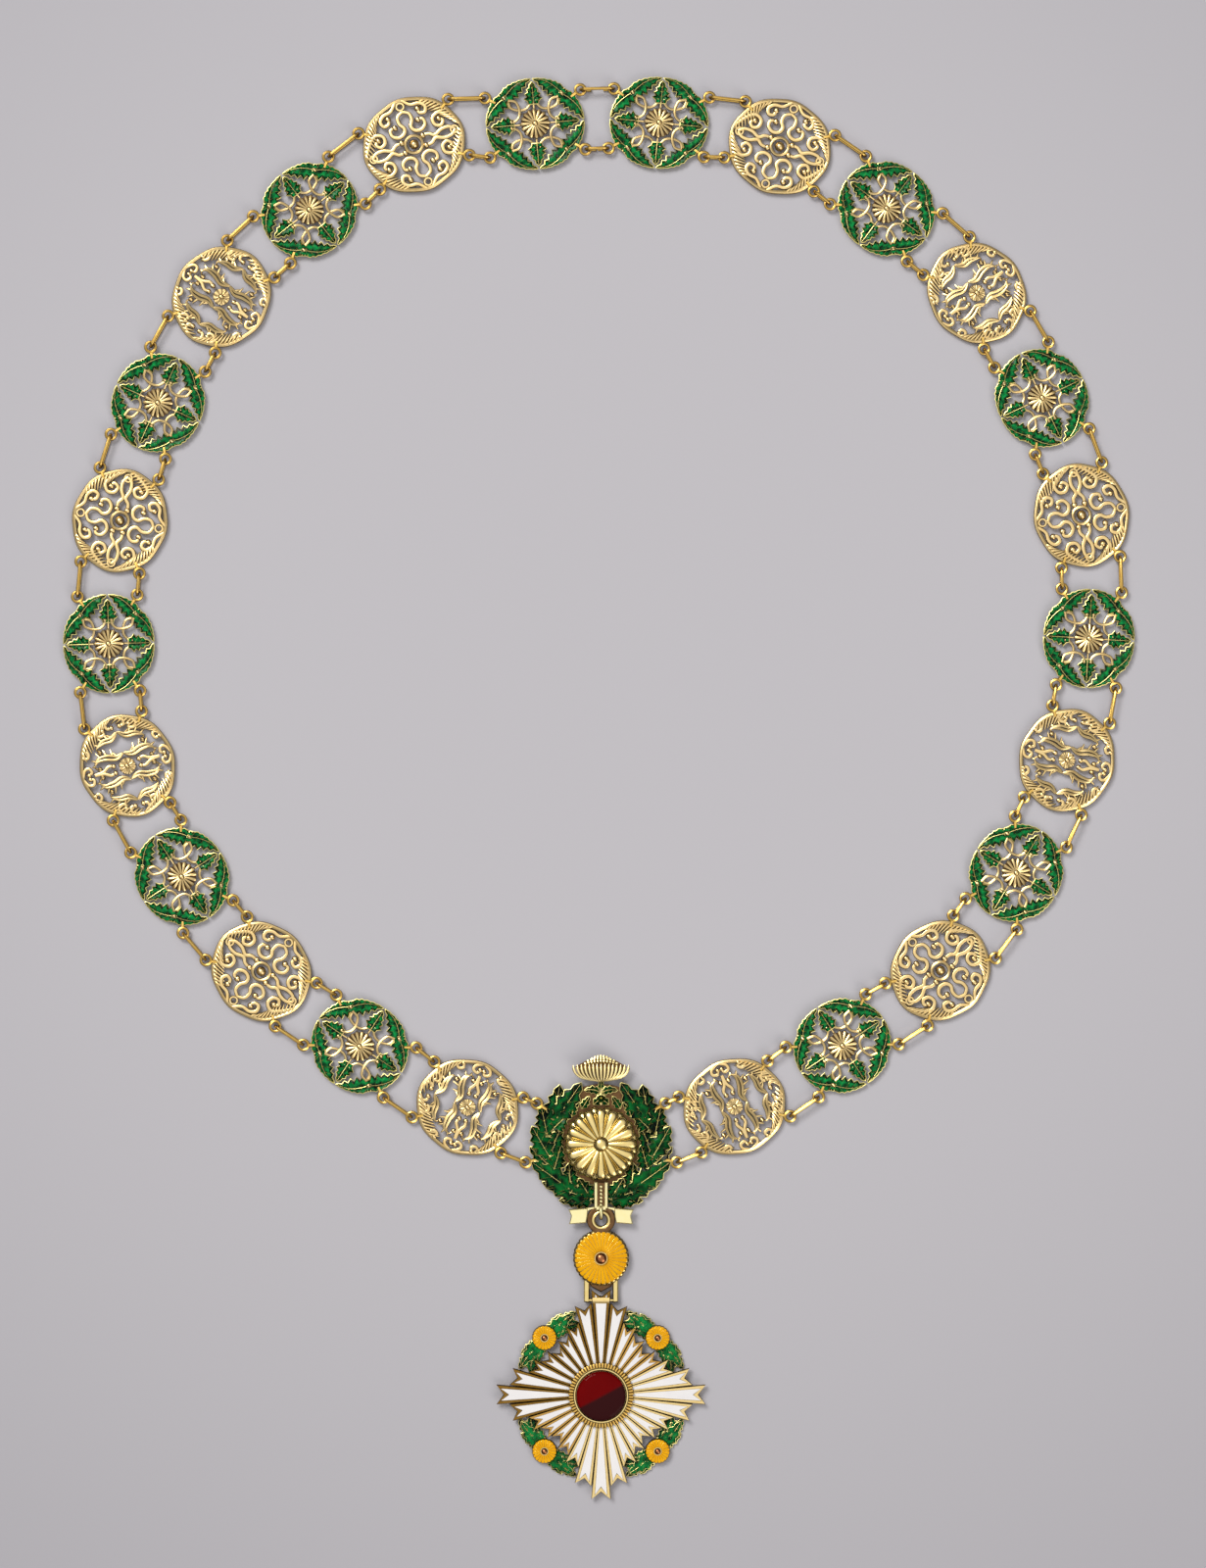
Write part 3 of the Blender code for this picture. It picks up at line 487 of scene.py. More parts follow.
def gold_finish(name, light, deep, roughness, wear=0.08, dent=0.25, side_shade="2A1604"):
    """Gold, bright where it faces up or down, with painted brown shade on its steep sides and fine dents.
    """
    finish, tree, shader = start_finish(name)
    shader.inputs["Metallic"].default_value = 1.0
    place = add_node(tree, "TexCoord")
    cloud = add_node(tree, "TexNoise", Scale=700.0, Detail=3.0)
    tint = mix_colours(tree, light, deep)
    facing = add_node(tree, "SeparateXYZ")
    either_way = add_node(tree, "Math", operation="ABSOLUTE")
    # Painted shade: a dark colour is mixed into the gold where the surface is steep.
    steepness = smooth_step(tree, 0.22, 0.82)
    side_shaded = add_node(tree, "Mix", data_type="RGBA")
    side_shaded.inputs[6].default_value = linear(side_shade)
    gloss = add_node(tree, "MapRange", To_Min=roughness - wear, To_Max=roughness + wear)
    grain = add_node(tree, "TexNoise", Scale=2600.0, Detail=2.0)
    bump = add_node(tree, "Bump", Strength=dent, Distance=0.00006)
    connect(
        tree,
        (place, "Object", cloud, "Vector"),
        (place, "Object", grain, "Vector"),
        (cloud, "Fac", tint, 0),
        (place, "Normal", facing, 0),
        (facing, "Z", either_way, 0),
        (either_way, 0, steepness, "Value"),
        (steepness, "Result", side_shaded, 0),
        (tint, 2, side_shaded, 7),
        (side_shaded, 2, shader, "Base Color"),
        (cloud, "Fac", gloss, "Value"),
        (gloss, "Result", shader, "Roughness"),
        (grain, "Fac", bump, "Height"),
        (bump, "Normal", shader, "Normal"),
    )
    return finish


def enamel_finish(name, light, deep, low, high, roughness=0.16, scale=420.0, dent=0.3, gloss=0.12):
    """Fired enamel with a clear gloss, with painted shade deep at the cell's edge and a painted highlight
    where it's crowned.
    """
    finish, tree, shader = start_finish(name)
    shader.inputs["Roughness"].default_value = roughness
    shader.inputs["Specular IOR Level"].default_value = gloss
    place = add_node(tree, "TexCoord")
    cloud = add_node(tree, "TexNoise", Scale=scale, Detail=2.0)
    parts = add_node(tree, "SeparateXYZ")
    # Painted highlight and shade: the colour grows lighter with the height of the crown.
    level = add_node(tree, "MapRange", From_Min=low * MM, From_Max=high * MM)
    both = add_node(tree, "Math", operation="MULTIPLY")
    tint = add_node(tree, "ValToRGB")
    tint.color_ramp.elements[0].position = 0.24
    tint.color_ramp.elements[0].color = linear(deep)
    tint.color_ramp.elements[1].position = 0.60
    tint.color_ramp.elements[1].color = linear(light)
    bump = add_node(tree, "Bump", Strength=dent, Distance=0.00008)
    connect(
        tree,
        (place, "Object", cloud, "Vector"),
        (place, "Object", parts, 0),
        (parts, "Z", level, "Value"),
        (cloud, "Fac", both, 0),
        (level, "Result", both, 1),
        (both, 0, tint, "Fac"),
        (tint, "Color", shader, "Base Color"),
        (cloud, "Fac", bump, "Height"),
        (bump, "Normal", shader, "Normal"),
    )
    return finish


# Polished gold gives the eye pale tops; its brown sides are painted shade. The threads round the leaves
# are greener and yellower with a painted reflection of the enamel beside them.
pale_gold = gold_finish("polished_pale_gold", "FFE9B2", "F0C87E", 0.32, 0.08, 0.15)
link_gold = gold_finish("yellow_link_gold", "FBD880", "E6B250", 0.30, 0.08, 0.15)
# Painted shade: a dark brown gold for plates and strips that are seen only as shade in the gaps.
painted_shade_brown = gold_finish("painted_shade_brown", "8A6A48", "5A402A", 0.5)
# Painted reflection: the thread gold is tinted green and yellow by the enamel beside it.
thread_gold = gold_finish("leaf_thread_gold_painted_reflection", "FAF0A4", "E2D27C", 0.36, 0.06, 0.1, side_shade="7A7A2C")
emerald = enamel_finish("emerald_enamel", "0AA04E", "001408", 1.43, 2.0, 0.16, 900.0, 0.5, 0.1)

LEAF_LOOK = {  # heights, wires and how deep the teeth are cut
    "low": 0.35, "edge": 1.55, "crown": 0.42, "thread": 0.17, "vein": 0.11, "lead": 0.05,
    "notch": 0.72, "point": 1.10,
}
green_shape = Shape()
# The rosette's round plate is painted shade brown, seen as dark gaps between the petals.
petal_rosette(green_shape, 4.3, 16, 1.7, 1.5, 0.9, SHADE_BROWN)
INNER_LEAVES = (  # direction in degrees, base, tip, width
    (0, 6.4, 12.6, 5.0),
    (90, 6.0, 12.0, 4.8),
    (180, 6.4, 12.6, 5.0),
    (270, 6.0, 12.0, 4.8),
)
for degrees, base, tip, width in INNER_LEAVES:
    angle = math.radians(degrees)
    leaf(green_shape, polar(angle, base), polar(angle, tip), width, 4, LEAF_LOOK, fullness=0.42, heart=0.6)
    stem = [(*polar(angle, reach), 1.35) for reach in (3.6, 5.0, base + 0.4)]
    tube(green_shape, stem, 0.3, GOLD, 6)
LOOP = ((0, 10.2), (7, 8.6), (6, 7.2), (0, 5.9), (-12, 5.1), (-24, 5.1), (-35, 5.9), (-37, 6.8))
QUARTERS = ((-1, -1), (-1, 1), (1, -1), (1, 1))  # the sides, left or right and down or up
for x_side, y_side in QUARTERS:
    hand = x_side * y_side
    base = Vector((8.3 * x_side, 8.0 * y_side))
    for tip, bend in (((14.5, 0.3), 0.9), ((0.3, 13.4), -0.9)):
        tip = (tip[0] * x_side, tip[1] * y_side)
        leaf(
            green_shape, base, tip, 6.2, 5, LEAF_LOOK, bend * hand, 0.55,
            heart=0.6, within=medallion_rim,
        )
    for side in (-1, 1):
        line = []
        for degrees, reach in LOOP:
            point = polar(math.radians(45 + side * degrees), reach)
            line.append((point.x * x_side, point.y * y_side, 1.5 + 0.15 * side))
        curve = smooth(line, 4)
        tube(green_shape, curve, 0.42, GOLD, 8, flat=0.9)
        ball(green_shape, curve[-1], 0.6, GOLD)
    ball(green_shape, (*base, 1.75), 0.7, GOLD)
medallion_roots = []
for degrees in (32, -32, 148, -148):
    medallion_roots.append(polar(math.radians(degrees), 11.5))
add_eyes(green_shape, chain[1]["eyes"], medallion_roots)
green_finishes = (pale_gold, link_gold, emerald, painted_shade_brown, thread_gold)
green_mesh = green_shape.mesh("enamelled_medallion", green_finishes)

# The pierced gold medallions, twelve in two designs.
# Each is cast gold: a rim wire, feathery bands below the eyes, and plumes or scrolls with ball
# ends in the middle. They're polished on top, with painted brown shade on their steep sides.
RIM_WIRE = 0.62
BAND_BARBS = 12


def on_rim(degrees, inset):
    angle = math.radians(degrees)
    return polar(angle, medallion_rim(angle) - inset)


def feather_band(shape, first, last, depth):
    """A crescent inside the rim with slanted barbs on it, deepest in the middle."""
    outer, inner = [], []
    for i in range(13):
        share = i / 12
        at = first + (last - first) * share
        outer.append(on_rim(at, 0.3))
        inner.append(on_rim(at, 0.9 + (depth - 2.3) * math.sin(math.pi * share) ** 0.7))
    slab(shape, outer + inner[::-1], 0.6, 1.2, GOLD, 0.12)
    for i in range(BAND_BARBS):
        share = (i + 0.5) / BAND_BARBS
        at = first + (last - first) * share
        long = depth * (0.4 + 0.6 * math.sin(math.pi * share))
        lean = (last - first) * 0.16
        line = [
            (*on_rim(at - lean * 0.4, 0.5), 1.55),
            (*on_rim(at + lean * 0.2, 0.5 + long * 0.5), 1.75),
            (*on_rim(at + lean, 0.5 + long), 1.3),
        ]
        tube(shape, smooth(line, 3), [0.22, 0.30, 0.36, 0.38, 0.34, 0.28, 0.14], GOLD, 6)


def scroll(shape, points, thick=0.64, level=1.5, bead=0.9):
    """A wire through flat points that ends in a bead."""
    curve = smooth([(*point, level) for point in points], 5)
    count = len(curve)
    reach = [thick * (0.78 + 0.22 * math.sin(math.pi * i / (count - 1))) for i in range(count)]
    tube(shape, curve, reach, GOLD, 8, flat=0.8)
    ball(shape, curve[-1], bead, GOLD, flat=0.8)


def rim_and_bands(shape):
    line = [(*on_rim(5 * i, RIM_WIRE), 1.3) for i in range(72)]
    tube(shape, line, RIM_WIRE, GOLD, 8, closed=True)
    for middle in (32, 148, 212, 328):
        feather_band(shape, middle - 29, middle + 29, 3.3)
    add_eyes(shape, chain[1]["eyes"], medallion_roots)


SCROLL_PATHS = (  # flat points of one quarter, from where the wire starts to its ball end
    ((13.9, 1.6), (12.0, 4.2), (9.8, 6.1), (7.6, 5.2), (7.6, 3.2), (9.2, 2.4), (10.2, 3.6), (9.2, 4.4)),
    ((1.0, 13.0), (3.0, 11.0), (5.4, 10.6), (6.8, 9.2), (6.2, 7.6), (4.7, 7.9), (4.5, 9.2)),
    (
        (0.0, 9.8), (1.7, 8.8), (1.9, 6.8), (1.0, 5.2), (1.6, 3.7),
        (3.4, 3.2), (5.0, 4.3), (4.9, 6.0), (3.5, 6.2),
    ),
    ((12.6, 0.0), (11.2, 1.2), (8.8, 1.3), (6.6, 0.4), (5.0, 1.4), (3.2, 1.5)),
)
scroll_shape = Shape()
rim_and_bands(scroll_shape)
for x_side, y_side in QUARTERS:
    for path in SCROLL_PATHS:
        scroll(scroll_shape, [(x * x_side, y * y_side) for x, y in path])
ball(scroll_shape, (0, 0, 1.3), 1.4, GOLD, 12, flat=0.95)
ring(scroll_shape, (0, 0, 1.4), 2.5, 0.5, GOLD)
for degrees, reach in ((0, 12.3), (90, 11.4), (180, 12.3), (270, 11.4)):
    ring(scroll_shape, (*polar(math.radians(degrees), reach), 1.5), 1.05, 0.42, GOLD, 14, 6)
scroll_mesh = scroll_shape.mesh("scroll_medallion", (pale_gold, link_gold))


def plume(shape, path, swell, comb):
    """A curling plume: two ribs side by side, a comb of short barbs on one edge and a bead at its tip."""
    curve = smooth([(*point, 1.5) for point in path], 5)
    count = len(curve)
    ribs = {-1: [], 1: []}
    thick = []
    for i, point in enumerate(curve):
        share = i / (count - 1)
        heading = (curve[min(i + 1, count - 1)] - curve[max(i - 1, 0)]).normalized()
        across = Vector((-heading.y, heading.x, 0))
        full = math.sin(math.pi * min(share * 1.4, 1.0)) ** 0.8
        for side in ribs:
            ribs[side].append(point + across * side * swell * 0.5 * full)
        thick.append(0.28 + swell * 0.2 * full)
        if i % 3 == 1 and 0.05 < share < 0.8:
            root = point + across * comb * swell * 0.6 * full
            tip = root + (across * comb + heading * 0.5) * (0.8 + 1.0 * full)
            tube(shape, [root, (root + tip) / 2, (tip.x, tip.y, 1.35)], [0.38, 0.34, 0.14], GOLD, 6)
    for side in ribs:
        tube(shape, ribs[side], thick, GOLD, 8)
    ball(shape, curve[-1], 0.75, GOLD)


PLUMES = (  # flat points of one quarter, and the swell
    (((3.9, 0.1), (3.1, 2.4), (3.9, 5.0), (3.8, 7.7), (2.2, 8.9), (1.2, 7.7)), 1.15),
    (((10.1, 0.1), (8.6, 2.2), (8.4, 4.8), (7.2, 7.0), (5.9, 6.4)), 1.0),
)
TENDRIL_PATHS = (  # flat points of one quarter, from where the wire starts to its ball end
    ((14.0, 1.0), (13.0, 2.6), (11.7, 2.4), (11.6, 1.2)),
    ((13.0, 4.8), (11.6, 6.0), (10.2, 5.2), (10.4, 3.8), (11.5, 3.9)),
    ((7.6, 10.6), (6.5, 9.6), (5.3, 10.2), (5.7, 11.3)),
    ((0.4, 13.0), (2.2, 12.0), (2.4, 10.7), (1.1, 10.2), (0.6, 11.2)),
    ((0.1, 9.6), (0.3, 7.0), (1.3, 5.2), (1.0, 3.8)),
)
plume_shape = Shape()
rim_and_bands(plume_shape)
for x_side, y_side in QUARTERS:
    for path, swell in PLUMES:
        plume(plume_shape, [(x * x_side, y * y_side) for x, y in path], swell, -x_side * y_side)
    for path in TENDRIL_PATHS:
        scroll(plume_shape, [(x * x_side, y * y_side) for x, y in path], 0.54, bead=0.75)
petal_rosette(plume_shape, 2.5, 10, 1.4, 1.1, 0.8, GOLD)
plume_mesh = plume_shape.mesh("plume_medallion", (pale_gold, link_gold))

counts = {"green": 0, "gold": 0}
medallion_nodes = {}
for i in range(1, MEDALLIONS + 1):
    from_wreath = min(i, MEDALLIONS + 1 - i)
    kind = "gold" if from_wreath % 2 else "green"
    counts[kind] += 1
    node = f"{kind}_medallion_{counts[kind]:02d}"
    medallion_nodes[i] = node
    mesh = green_mesh if kind == "green" else plume_mesh if from_wreath % 4 == 1 else scroll_mesh
    piece = chain[i]
    make_piece(f"medallion_{i:02d}", mesh, "collar", [node], piece["place"], piece["turn"])

# The links, two between each pair of pieces, and the hooks of the clasp at the top.
# Each is one bent wire of a deeper yellow gold that passes through both ring eyes. The clasp's
# two are open underneath and end in a knob, so that the collar can be opened there.
LINK_WIRE = 0.92
LINK_BEND = 1.328
HOOK_RETURN = 1.7


def link_path(length, hooked):
    """The wire seen from its side, as (distance from the first eye, height)."""
    near, far = EYE_MIDDLE, length - EYE_MIDDLE
    points = []
    for middle, first in ((near, 1.5), (far, 0.5)):
        for i in range(9):
            angle = math.pi * (first - i / 8)
            points.append((middle + LINK_BEND * math.cos(angle), EYE_LEVEL + LINK_BEND * math.sin(angle)))
    if hooked:
        points.insert(0, (near + HOOK_RETURN, EYE_LEVEL - LINK_BEND))
        points.append((far - HOOK_RETURN * 0.8, EYE_LEVEL - LINK_BEND + 0.1))
        points.append((far - HOOK_RETURN, EYE_LEVEL - LINK_BEND + 0.15))
    return points


for i, piece in enumerate(chain):
    following = chain[(i + 1) % len(chain)]
    hooked = i == MEDALLIONS // 2
    pair = Shape()
    for leaves, holds in ((0, 2), (1, 3)):
        start = Matrix.Rotation(piece["turn"], 2) @ piece["eyes"][leaves] + piece["place"]
        end = Matrix.Rotation(following["turn"], 2) @ following["eyes"][holds] + following["place"]
        along = (end - start).normalized()
        path = link_path((end - start).length, hooked)
        line = [(*(start + along * distance), level) for distance, level in path]
        thick = [LINK_WIRE / 2] * len(line)
        if hooked:
            thick[-1] = LINK_WIRE * 0.7
            thick[-2] = LINK_WIRE * 0.6
        tube(pair, line, thick, 0, 8, not hooked, (-along.y, along.x, 0), 0.87)
    node = medallion_nodes.get(i, "wreath_leaves")
    make_piece(f"link_pair_{i:02d}", pair.mesh("link_pair", (link_gold,)), "collar", [node])

# The leaf wreath in front, a gold plate that carries everything below it.
# Its lobed leaves are filled with deep green enamel between gold threads. A ring in painted shade
# brown shows in the gaps behind the rosette, with a small sprig and buds above.
WREATH_LOOK = {
    "low": 0.4, "edge": 1.7, "crown": 0.5, "thread": 0.11, "vein": 0.11, "lead": 0.08,
    "notch": 0.70, "point": 1.12,
}
WREATH_LOBES = (  # base, tip and width of the lobes of one side, and how far each is raised
    ((-11.6, 9.4), (-6.2, 11.6), 4.4, 0.0),
    ((-12.8, 7.0), (-5.6, 17.4), 6.4, 0.1),
    ((-13.8, 5.6), (-11.8, 16.8), 6.2, 0.0),
    ((-13.6, 4.4), (-9.6, 8.2), 4.8, 0.1),
    ((-15.4, 2.6), (-17.2, 10.9), 5.2, 0.1),
    ((-14.8, -2.8), (-11.3, 4.8), 5.4, 0.0),
    ((-15.0, -3.4), (-19.8, 5.0), 5.8, 0.2),
    ((-13.4, -7.4), (-11.4, -0.4), 4.8, 0.1),
    ((-13.6, -7.6), (-20.4, -0.9), 4.6, 0.0),
    ((-8.6, -13.0), (-9.2, -5.6), 5.0, 0.0),
    ((-9.0, -13.0), (-19.9, -5.2), 6.4, 0.2),
    ((-3.0, -15.6), (-6.4, -9.9), 4.6, 0.1),
    ((-3.4, -15.8), (-16.9, -11.0), 6.0, 0.1),
    ((-2.2, -15.8), (-12.0, -16.3), 4.8, 0.0),
)
deep_green = enamel_finish("deep_green_enamel", "05702F", "000A04", 1.62, 2.35, 0.16, 300.0, 0.5, 0.08)
wreath_shape = Shape()
for side in (-1, 1):
    for base, tip, width, lift in WREATH_LOBES:
        base, tip = (-base[0] * side, base[1]), (-tip[0] * side, tip[1])
        leaf(wreath_shape, base, tip, width * 1.06, 4, WREATH_LOOK, 0.0, 0.6, lift=lift, heart=0.5)
for clock in (-48, -29, -11, 11, 29, 48):
    angle = math.pi / 2 + math.radians(clock)
    way = angle - math.copysign(math.radians(62), clock)
    root = polar(angle, 11.4)
    leaf(wreath_shape, root, root + polar(way, 4.2), 2.4, 3, WREATH_LOOK, 0.0, 0.7)
for side in (-1, 1):
    leaf(wreath_shape, (0.2 * side, 14.6), (4.8 * side, 15.2), 2.3, 3, WREATH_LOOK, 0.5 * side, 0.7)
for low, high, width in ((11.6, 14.2, 2.2), (15.4, 18.0, 1.8)):
    leaf(wreath_shape, (0, low), (0, high), width, 2, WREATH_LOOK, 0.0, 0.9)
tube(wreath_shape, [(0, 11.0, 1.4), (0, 14.6, 1.5), (0, 18.2, 1.4)], 0.4, GOLD, 6)
# Rows of the back ring: level, radius, and how much wider the ring is above the rosette.
BACK_RING = ((0.2, 11.9, 5.0), (0.9, 11.9, 5.0), (0.9, 9.2, 0.0), (0.2, 9.2, 0.0))
count = 72
back_ring = []
for level, reach, above in BACK_RING:
    for i in range(count):
        angle = math.tau * i / count
        wider = above * max(0.0, min(1.0, (math.sin(angle) - 0.76) * 8))
        back_ring.append((*polar(angle, reach + wider), level))
# The back ring is painted shade brown, seen in the gaps between the lobes.
wreath_shape.add(back_ring, band_faces(len(BACK_RING), count, closed=True), SHADE_BROWN)
wreath_roots = [eye * 0.9 for eye in chain[0]["eyes"]]
add_eyes(wreath_shape, chain[0]["eyes"], wreath_roots)
wreath_finishes = (pale_gold, link_gold, deep_green, painted_shade_brown, thread_gold)
wreath_mesh = wreath_shape.mesh("leaf_wreath", wreath_finishes)
make_piece("leaf_wreath", wreath_mesh, "collar", ["wreath_leaves"], wreath_place)

# The rosette in the wreath, cast gold with sixteen petals over a second layer, and a ball.
# It's polished, so each petal carries one bright streak and a brown shadow beside it, deepened by painted
# shade.
PETALS = 16
ROSETTE_LAYERS = (  # length of the petals, how far the layer is turned, in petals, and its level
    (10.6, 0.5, -0.45),
    (10.1, 0.0, 0.4),
)


def turned(shape, profile, kind, sides=64, closed=False):
    """A round body from the radius and level of each row; capped, or closed into a ring."""
    corners = []
    for reach, level in profile:
        corners += [(*polar(math.tau * i / sides, reach), level) for i in range(sides)]
    shape.add(corners, skin_faces(len(profile), sides, closed), kind)


rosette_gold = gold_finish("rosette_gold", "FFECAA", "F5D482", 0.24, 0.06, 0.06)
rosette_shape = Shape()
for layer, (reach, turn, level) in enumerate(ROSETTE_LAYERS):
    for i in range(PETALS):
        angle = math.tau * (i + turn) / PETALS
        line, thick = [], []
        for share in (0.14, 0.25, 0.4, 0.55, 0.7, 0.82, 0.91, 0.97, 1.0):
            drop = 1.5 * share ** 2.6 + 0.7 * (1 - share) ** 2
            line.append((*polar(angle, reach * share), 4.15 - drop + level))
            swell = 0.22 + (1.1 + 0.6 * layer) * share
            if share > 0.9:
                swell *= math.sqrt(max(1 - ((share - 0.88) / 0.125) ** 2, 0.03))
            thick.append(swell)
        tube(rosette_shape, line, thick, GOLD, 10, flat=0.5 + 0.14 * layer)
# A ring in painted shade brown under the petals, where shade falls between them.
turned(rosette_shape, ((9.4, 2.55), (9.4, 3.0)), SHADE_BACKING, 48)
ball(rosette_shape, (0, 0, 4.15), 2.3, GOLD, 20, flat=0.65)
rosette_mesh = rosette_shape.mesh("petal_rosette", (rosette_gold, painted_shade_brown))
make_piece("petal_rosette", rosette_mesh, "collar", ["wreath_rosette"], wreath_place)

# The crest flower at the top of the wreath, seen from its side.
# It's cast gold: long flutes fan out like a bowl, and rows of small petals close it above. It's
# paler than the rest, with only a light painted shade between the flutes, which are close and shallow.
crest_gold = gold_finish("crest_gold", "FFF0B8", "FCE094", 0.36, 0.06, 0.1, side_shade="9A7226")
crest_shape = Shape()
FLUTES = 15
for i in range(FLUTES):
    t = i / (FLUTES - 1) * 2 - 1
    foot = (3.4 * t, 17.9 + 0.4 * t * t)
    top = (7.9 * t, 22.9 - 0.4 * t * t)
    belly = (7.9 * t, 18.9 + 0.1 * t * t)
    line, thick = [], []
    for k in range(8):
        s = k / 7
        x = foot[0] * (1 - s) ** 2 + 2 * belly[0] * s * (1 - s) + top[0] * s * s
        y = foot[1] * (1 - s) ** 2 + 2 * belly[1] * s * (1 - s) + top[1] * s * s
        line.append((x, y, 3.3 + 0.6 * math.sin(math.pi * (0.15 + 0.7 * s)) * (1 - 0.4 * t * t)))
        thick.append((0.18 + 0.32 * s) if k < 7 else 0.18)
    tube(crest_shape, line, thick, GOLD, 10, flat=0.7)
CREST_ROWS = (  # petals, half width, height of the row, petal length, level
    (11, 4.3, 23.2, 0.9, 3.5),
    (9, 3.5, 23.9, 0.9, 3.6),
    (7, 2.3, 24.6, 0.8, 3.5),
)
for petal_count, spread, start, reach, level in CREST_ROWS:
    for i in range(petal_count):
        t = i / (petal_count - 1) * 2 - 1
        x, y = spread * t, start - 0.7 * t * t
        way = Vector((0.4 * t, 1.0)).normalized() * reach
        line = []
        for share, up in ((0.0, 0.0), (0.5, 0.3), (0.85, 0.2), (1.0, 0.0)):
            line.append((x + way.x * share, y + way.y * share, level + up))
        tube(crest_shape, line, [0.3, 0.42, 0.36, 0.12], GOLD, 8, flat=0.75)
# A plate in painted shade brown behind the crest, seen as shade in its gaps.
CREST_BACK = (
    (-4.4, 18.6), (4.4, 18.6), (7.4, 22.0), (4.0, 23.9), (0, 25.0), (-4.0, 23.9), (-7.4, 22.0),
)
back = [(*point, level) for level in (2.6, 3.1) for point in CREST_BACK]
crest_shape.add(back, skin_faces(2, len(CREST_BACK)), SHADE_BACKING)
crest_mesh = crest_shape.mesh("crest", (crest_gold, painted_shade_brown))
make_piece("crest", crest_mesh, "collar", ["crest_flower"], wreath_place)

# The stalk and ribbon tails below the wreath, and the upright loop that the pendant hangs from.
# They're flat polished gold. The stalk has a sunk strip in painted shade brown with a row of beads,
# and the loop is a round wire bent through the disc's eye. A ring in painted shade brown lies behind the
# knot.
HANGER_LINE = 19.5
LOOP_RADIUS = 1.769
LOOP_WIRE = 0.55
LOOP_LEVEL = LOOP_RADIUS + LOOP_WIRE  # so that the loop rests on the table
RIBBON_LOW = 2.5
TAIL = ((3.75, -18.3), (9.3, -18.7), (8.5, -20.5), (9.1, -22.9), (4.3, -22.5), (3.9, -20.6))
STALK_SIDE = ((1.0, -10.9), (1.95, -10.9), (1.95, -18.4), (1.0, -18.4))
KNOT_SIDE = ((1.9, -17.9), (4.2, -18.2), (3.9, -19.3), (3.3, -18.9), (1.9, -18.5))
satin_gold = gold_finish("satin_gold", "FFF8C8", "FCEEB0", 0.5, 0.05, 0.1)
ribbon_shape = Shape()
for side in (-1, 1):
    for outline, high, bevel in ((TAIL, 3.6, 0.25), (STALK_SIDE, 3.65, 0.2), (KNOT_SIDE, 3.4, 0.15)):
        slab(ribbon_shape, [(x * side, y) for x, y in outline], RIBBON_LOW, high, GOLD, bevel)
sunk_strip = [(-1.1, -11.0), (1.1, -11.0), (1.1, -18.4), (-1.1, -18.4)]
# The sunk strip is painted shade brown.
slab(ribbon_shape, sunk_strip, RIBBON_LOW, 3.1, SHADE_BACKING, 0.1)
for i in range(6):
    ball(ribbon_shape, (0, -12.2 - 1.05 * i, 3.15), 0.48, GOLD, 10, flat=0.8)
knot = [(-1.7, -17.6), (1.7, -17.6), (1.5, -19.0), (-1.5, -19.0)]
slab(ribbon_shape, knot, RIBBON_LOW, 3.67, GOLD, 0.3)
# A ring in painted shade brown behind the knot, where the ribbon's loop lies in shadow.
ring(ribbon_shape, (0, -21.6, 2.75), 3.35, 0.75, SHADE_BACKING, 32, 8, 0.5)
loop = []
for i in range(24):
    angle = math.tau * i / 24
    across, up = LOOP_RADIUS * math.cos(angle), LOOP_RADIUS * math.sin(angle)
    loop.append((0, across - HANGER_LINE, LOOP_LEVEL + up))
tube(ribbon_shape, loop, LOOP_WIRE, GOLD, 10, closed=True, across=(1, 0, 0))
ribbon_mesh = ribbon_shape.mesh("ribbon_and_loop", (satin_gold, painted_shade_brown))
make_piece("ribbon_and_loop", ribbon_mesh, "collar", ["ribbon_hanger"], wreath_place)

# The flower disc with its eye, and the arms and pin of the badge's hinge.
# The disc is gold with thirty-two petals of yellow enamel and a coppery boss. The arms below it
# hold the pin that the badge swings on.
disc_place = flat_middle(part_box("flower_disc_boss"))
HINGE_DROP = 12.2
HINGE_LEVEL = 1.6
YELLOW = 1
SHIELD = COPPER = 2  # the third finish is painted shade brown in the disc and copper in the corner flowers
yellow = enamel_finish("yellow_enamel", "F8B610", "ECA406", -1.0, 1.0, 0.45, gloss=0.06)
copper = gold_finish("coppery_gold", "C98A5C", "8E5433", 0.25)


def petal_disc(shape, radius, petals, low, edge, middle, inner):
    """Rows of enamel petals between gold lines, with a scalloped gold edge."""
    spokes = 12
    count = petals * spokes
    corners, top_faces, gold_faces = [], [], []
    rings = (inner, 0.55, 0.8, 0.93, 1.0)
    for j, share in enumerate(rings):
        for i in range(count):
            across = (i % spokes) / spokes * 2 - 1
            arch = math.sqrt(max(1 - across * across, 0.0))
            reach = radius * share * (1 - 0.035 * (1 - arch) * (j > 2))
            level = middle - (middle - edge) * share ** 2 - 0.16 * (1 - arch)
            if j == 4:
                level -= 0.35
            corners.append((*polar(math.tau * i / count, reach), level))
    for number, face in enumerate(band_faces(len(rings), count)):
        j, i = divmod(number, count)
        seam = i % spokes in (0, spokes - 1)
        (gold_faces if seam or j == 3 else top_faces).append(face)
    first = len(corners)
    corners += [(x, y, low) for x, y, level in corners[-count:]]
    for i in range(count):
        k = (i + 1) % count
        gold_faces.append((4 * count + i, 4 * count + k, first + k, first + i))
    gold_faces.append(tuple(range(first, first + count)))
    gold_faces.append(tuple(range(count)))
    start = len(shape.corners)
    shape.add(corners, top_faces, YELLOW)
    shape.faces += [[start + k for k in face] for face in gold_faces]
    shape.kinds += [GOLD] * len(gold_faces)


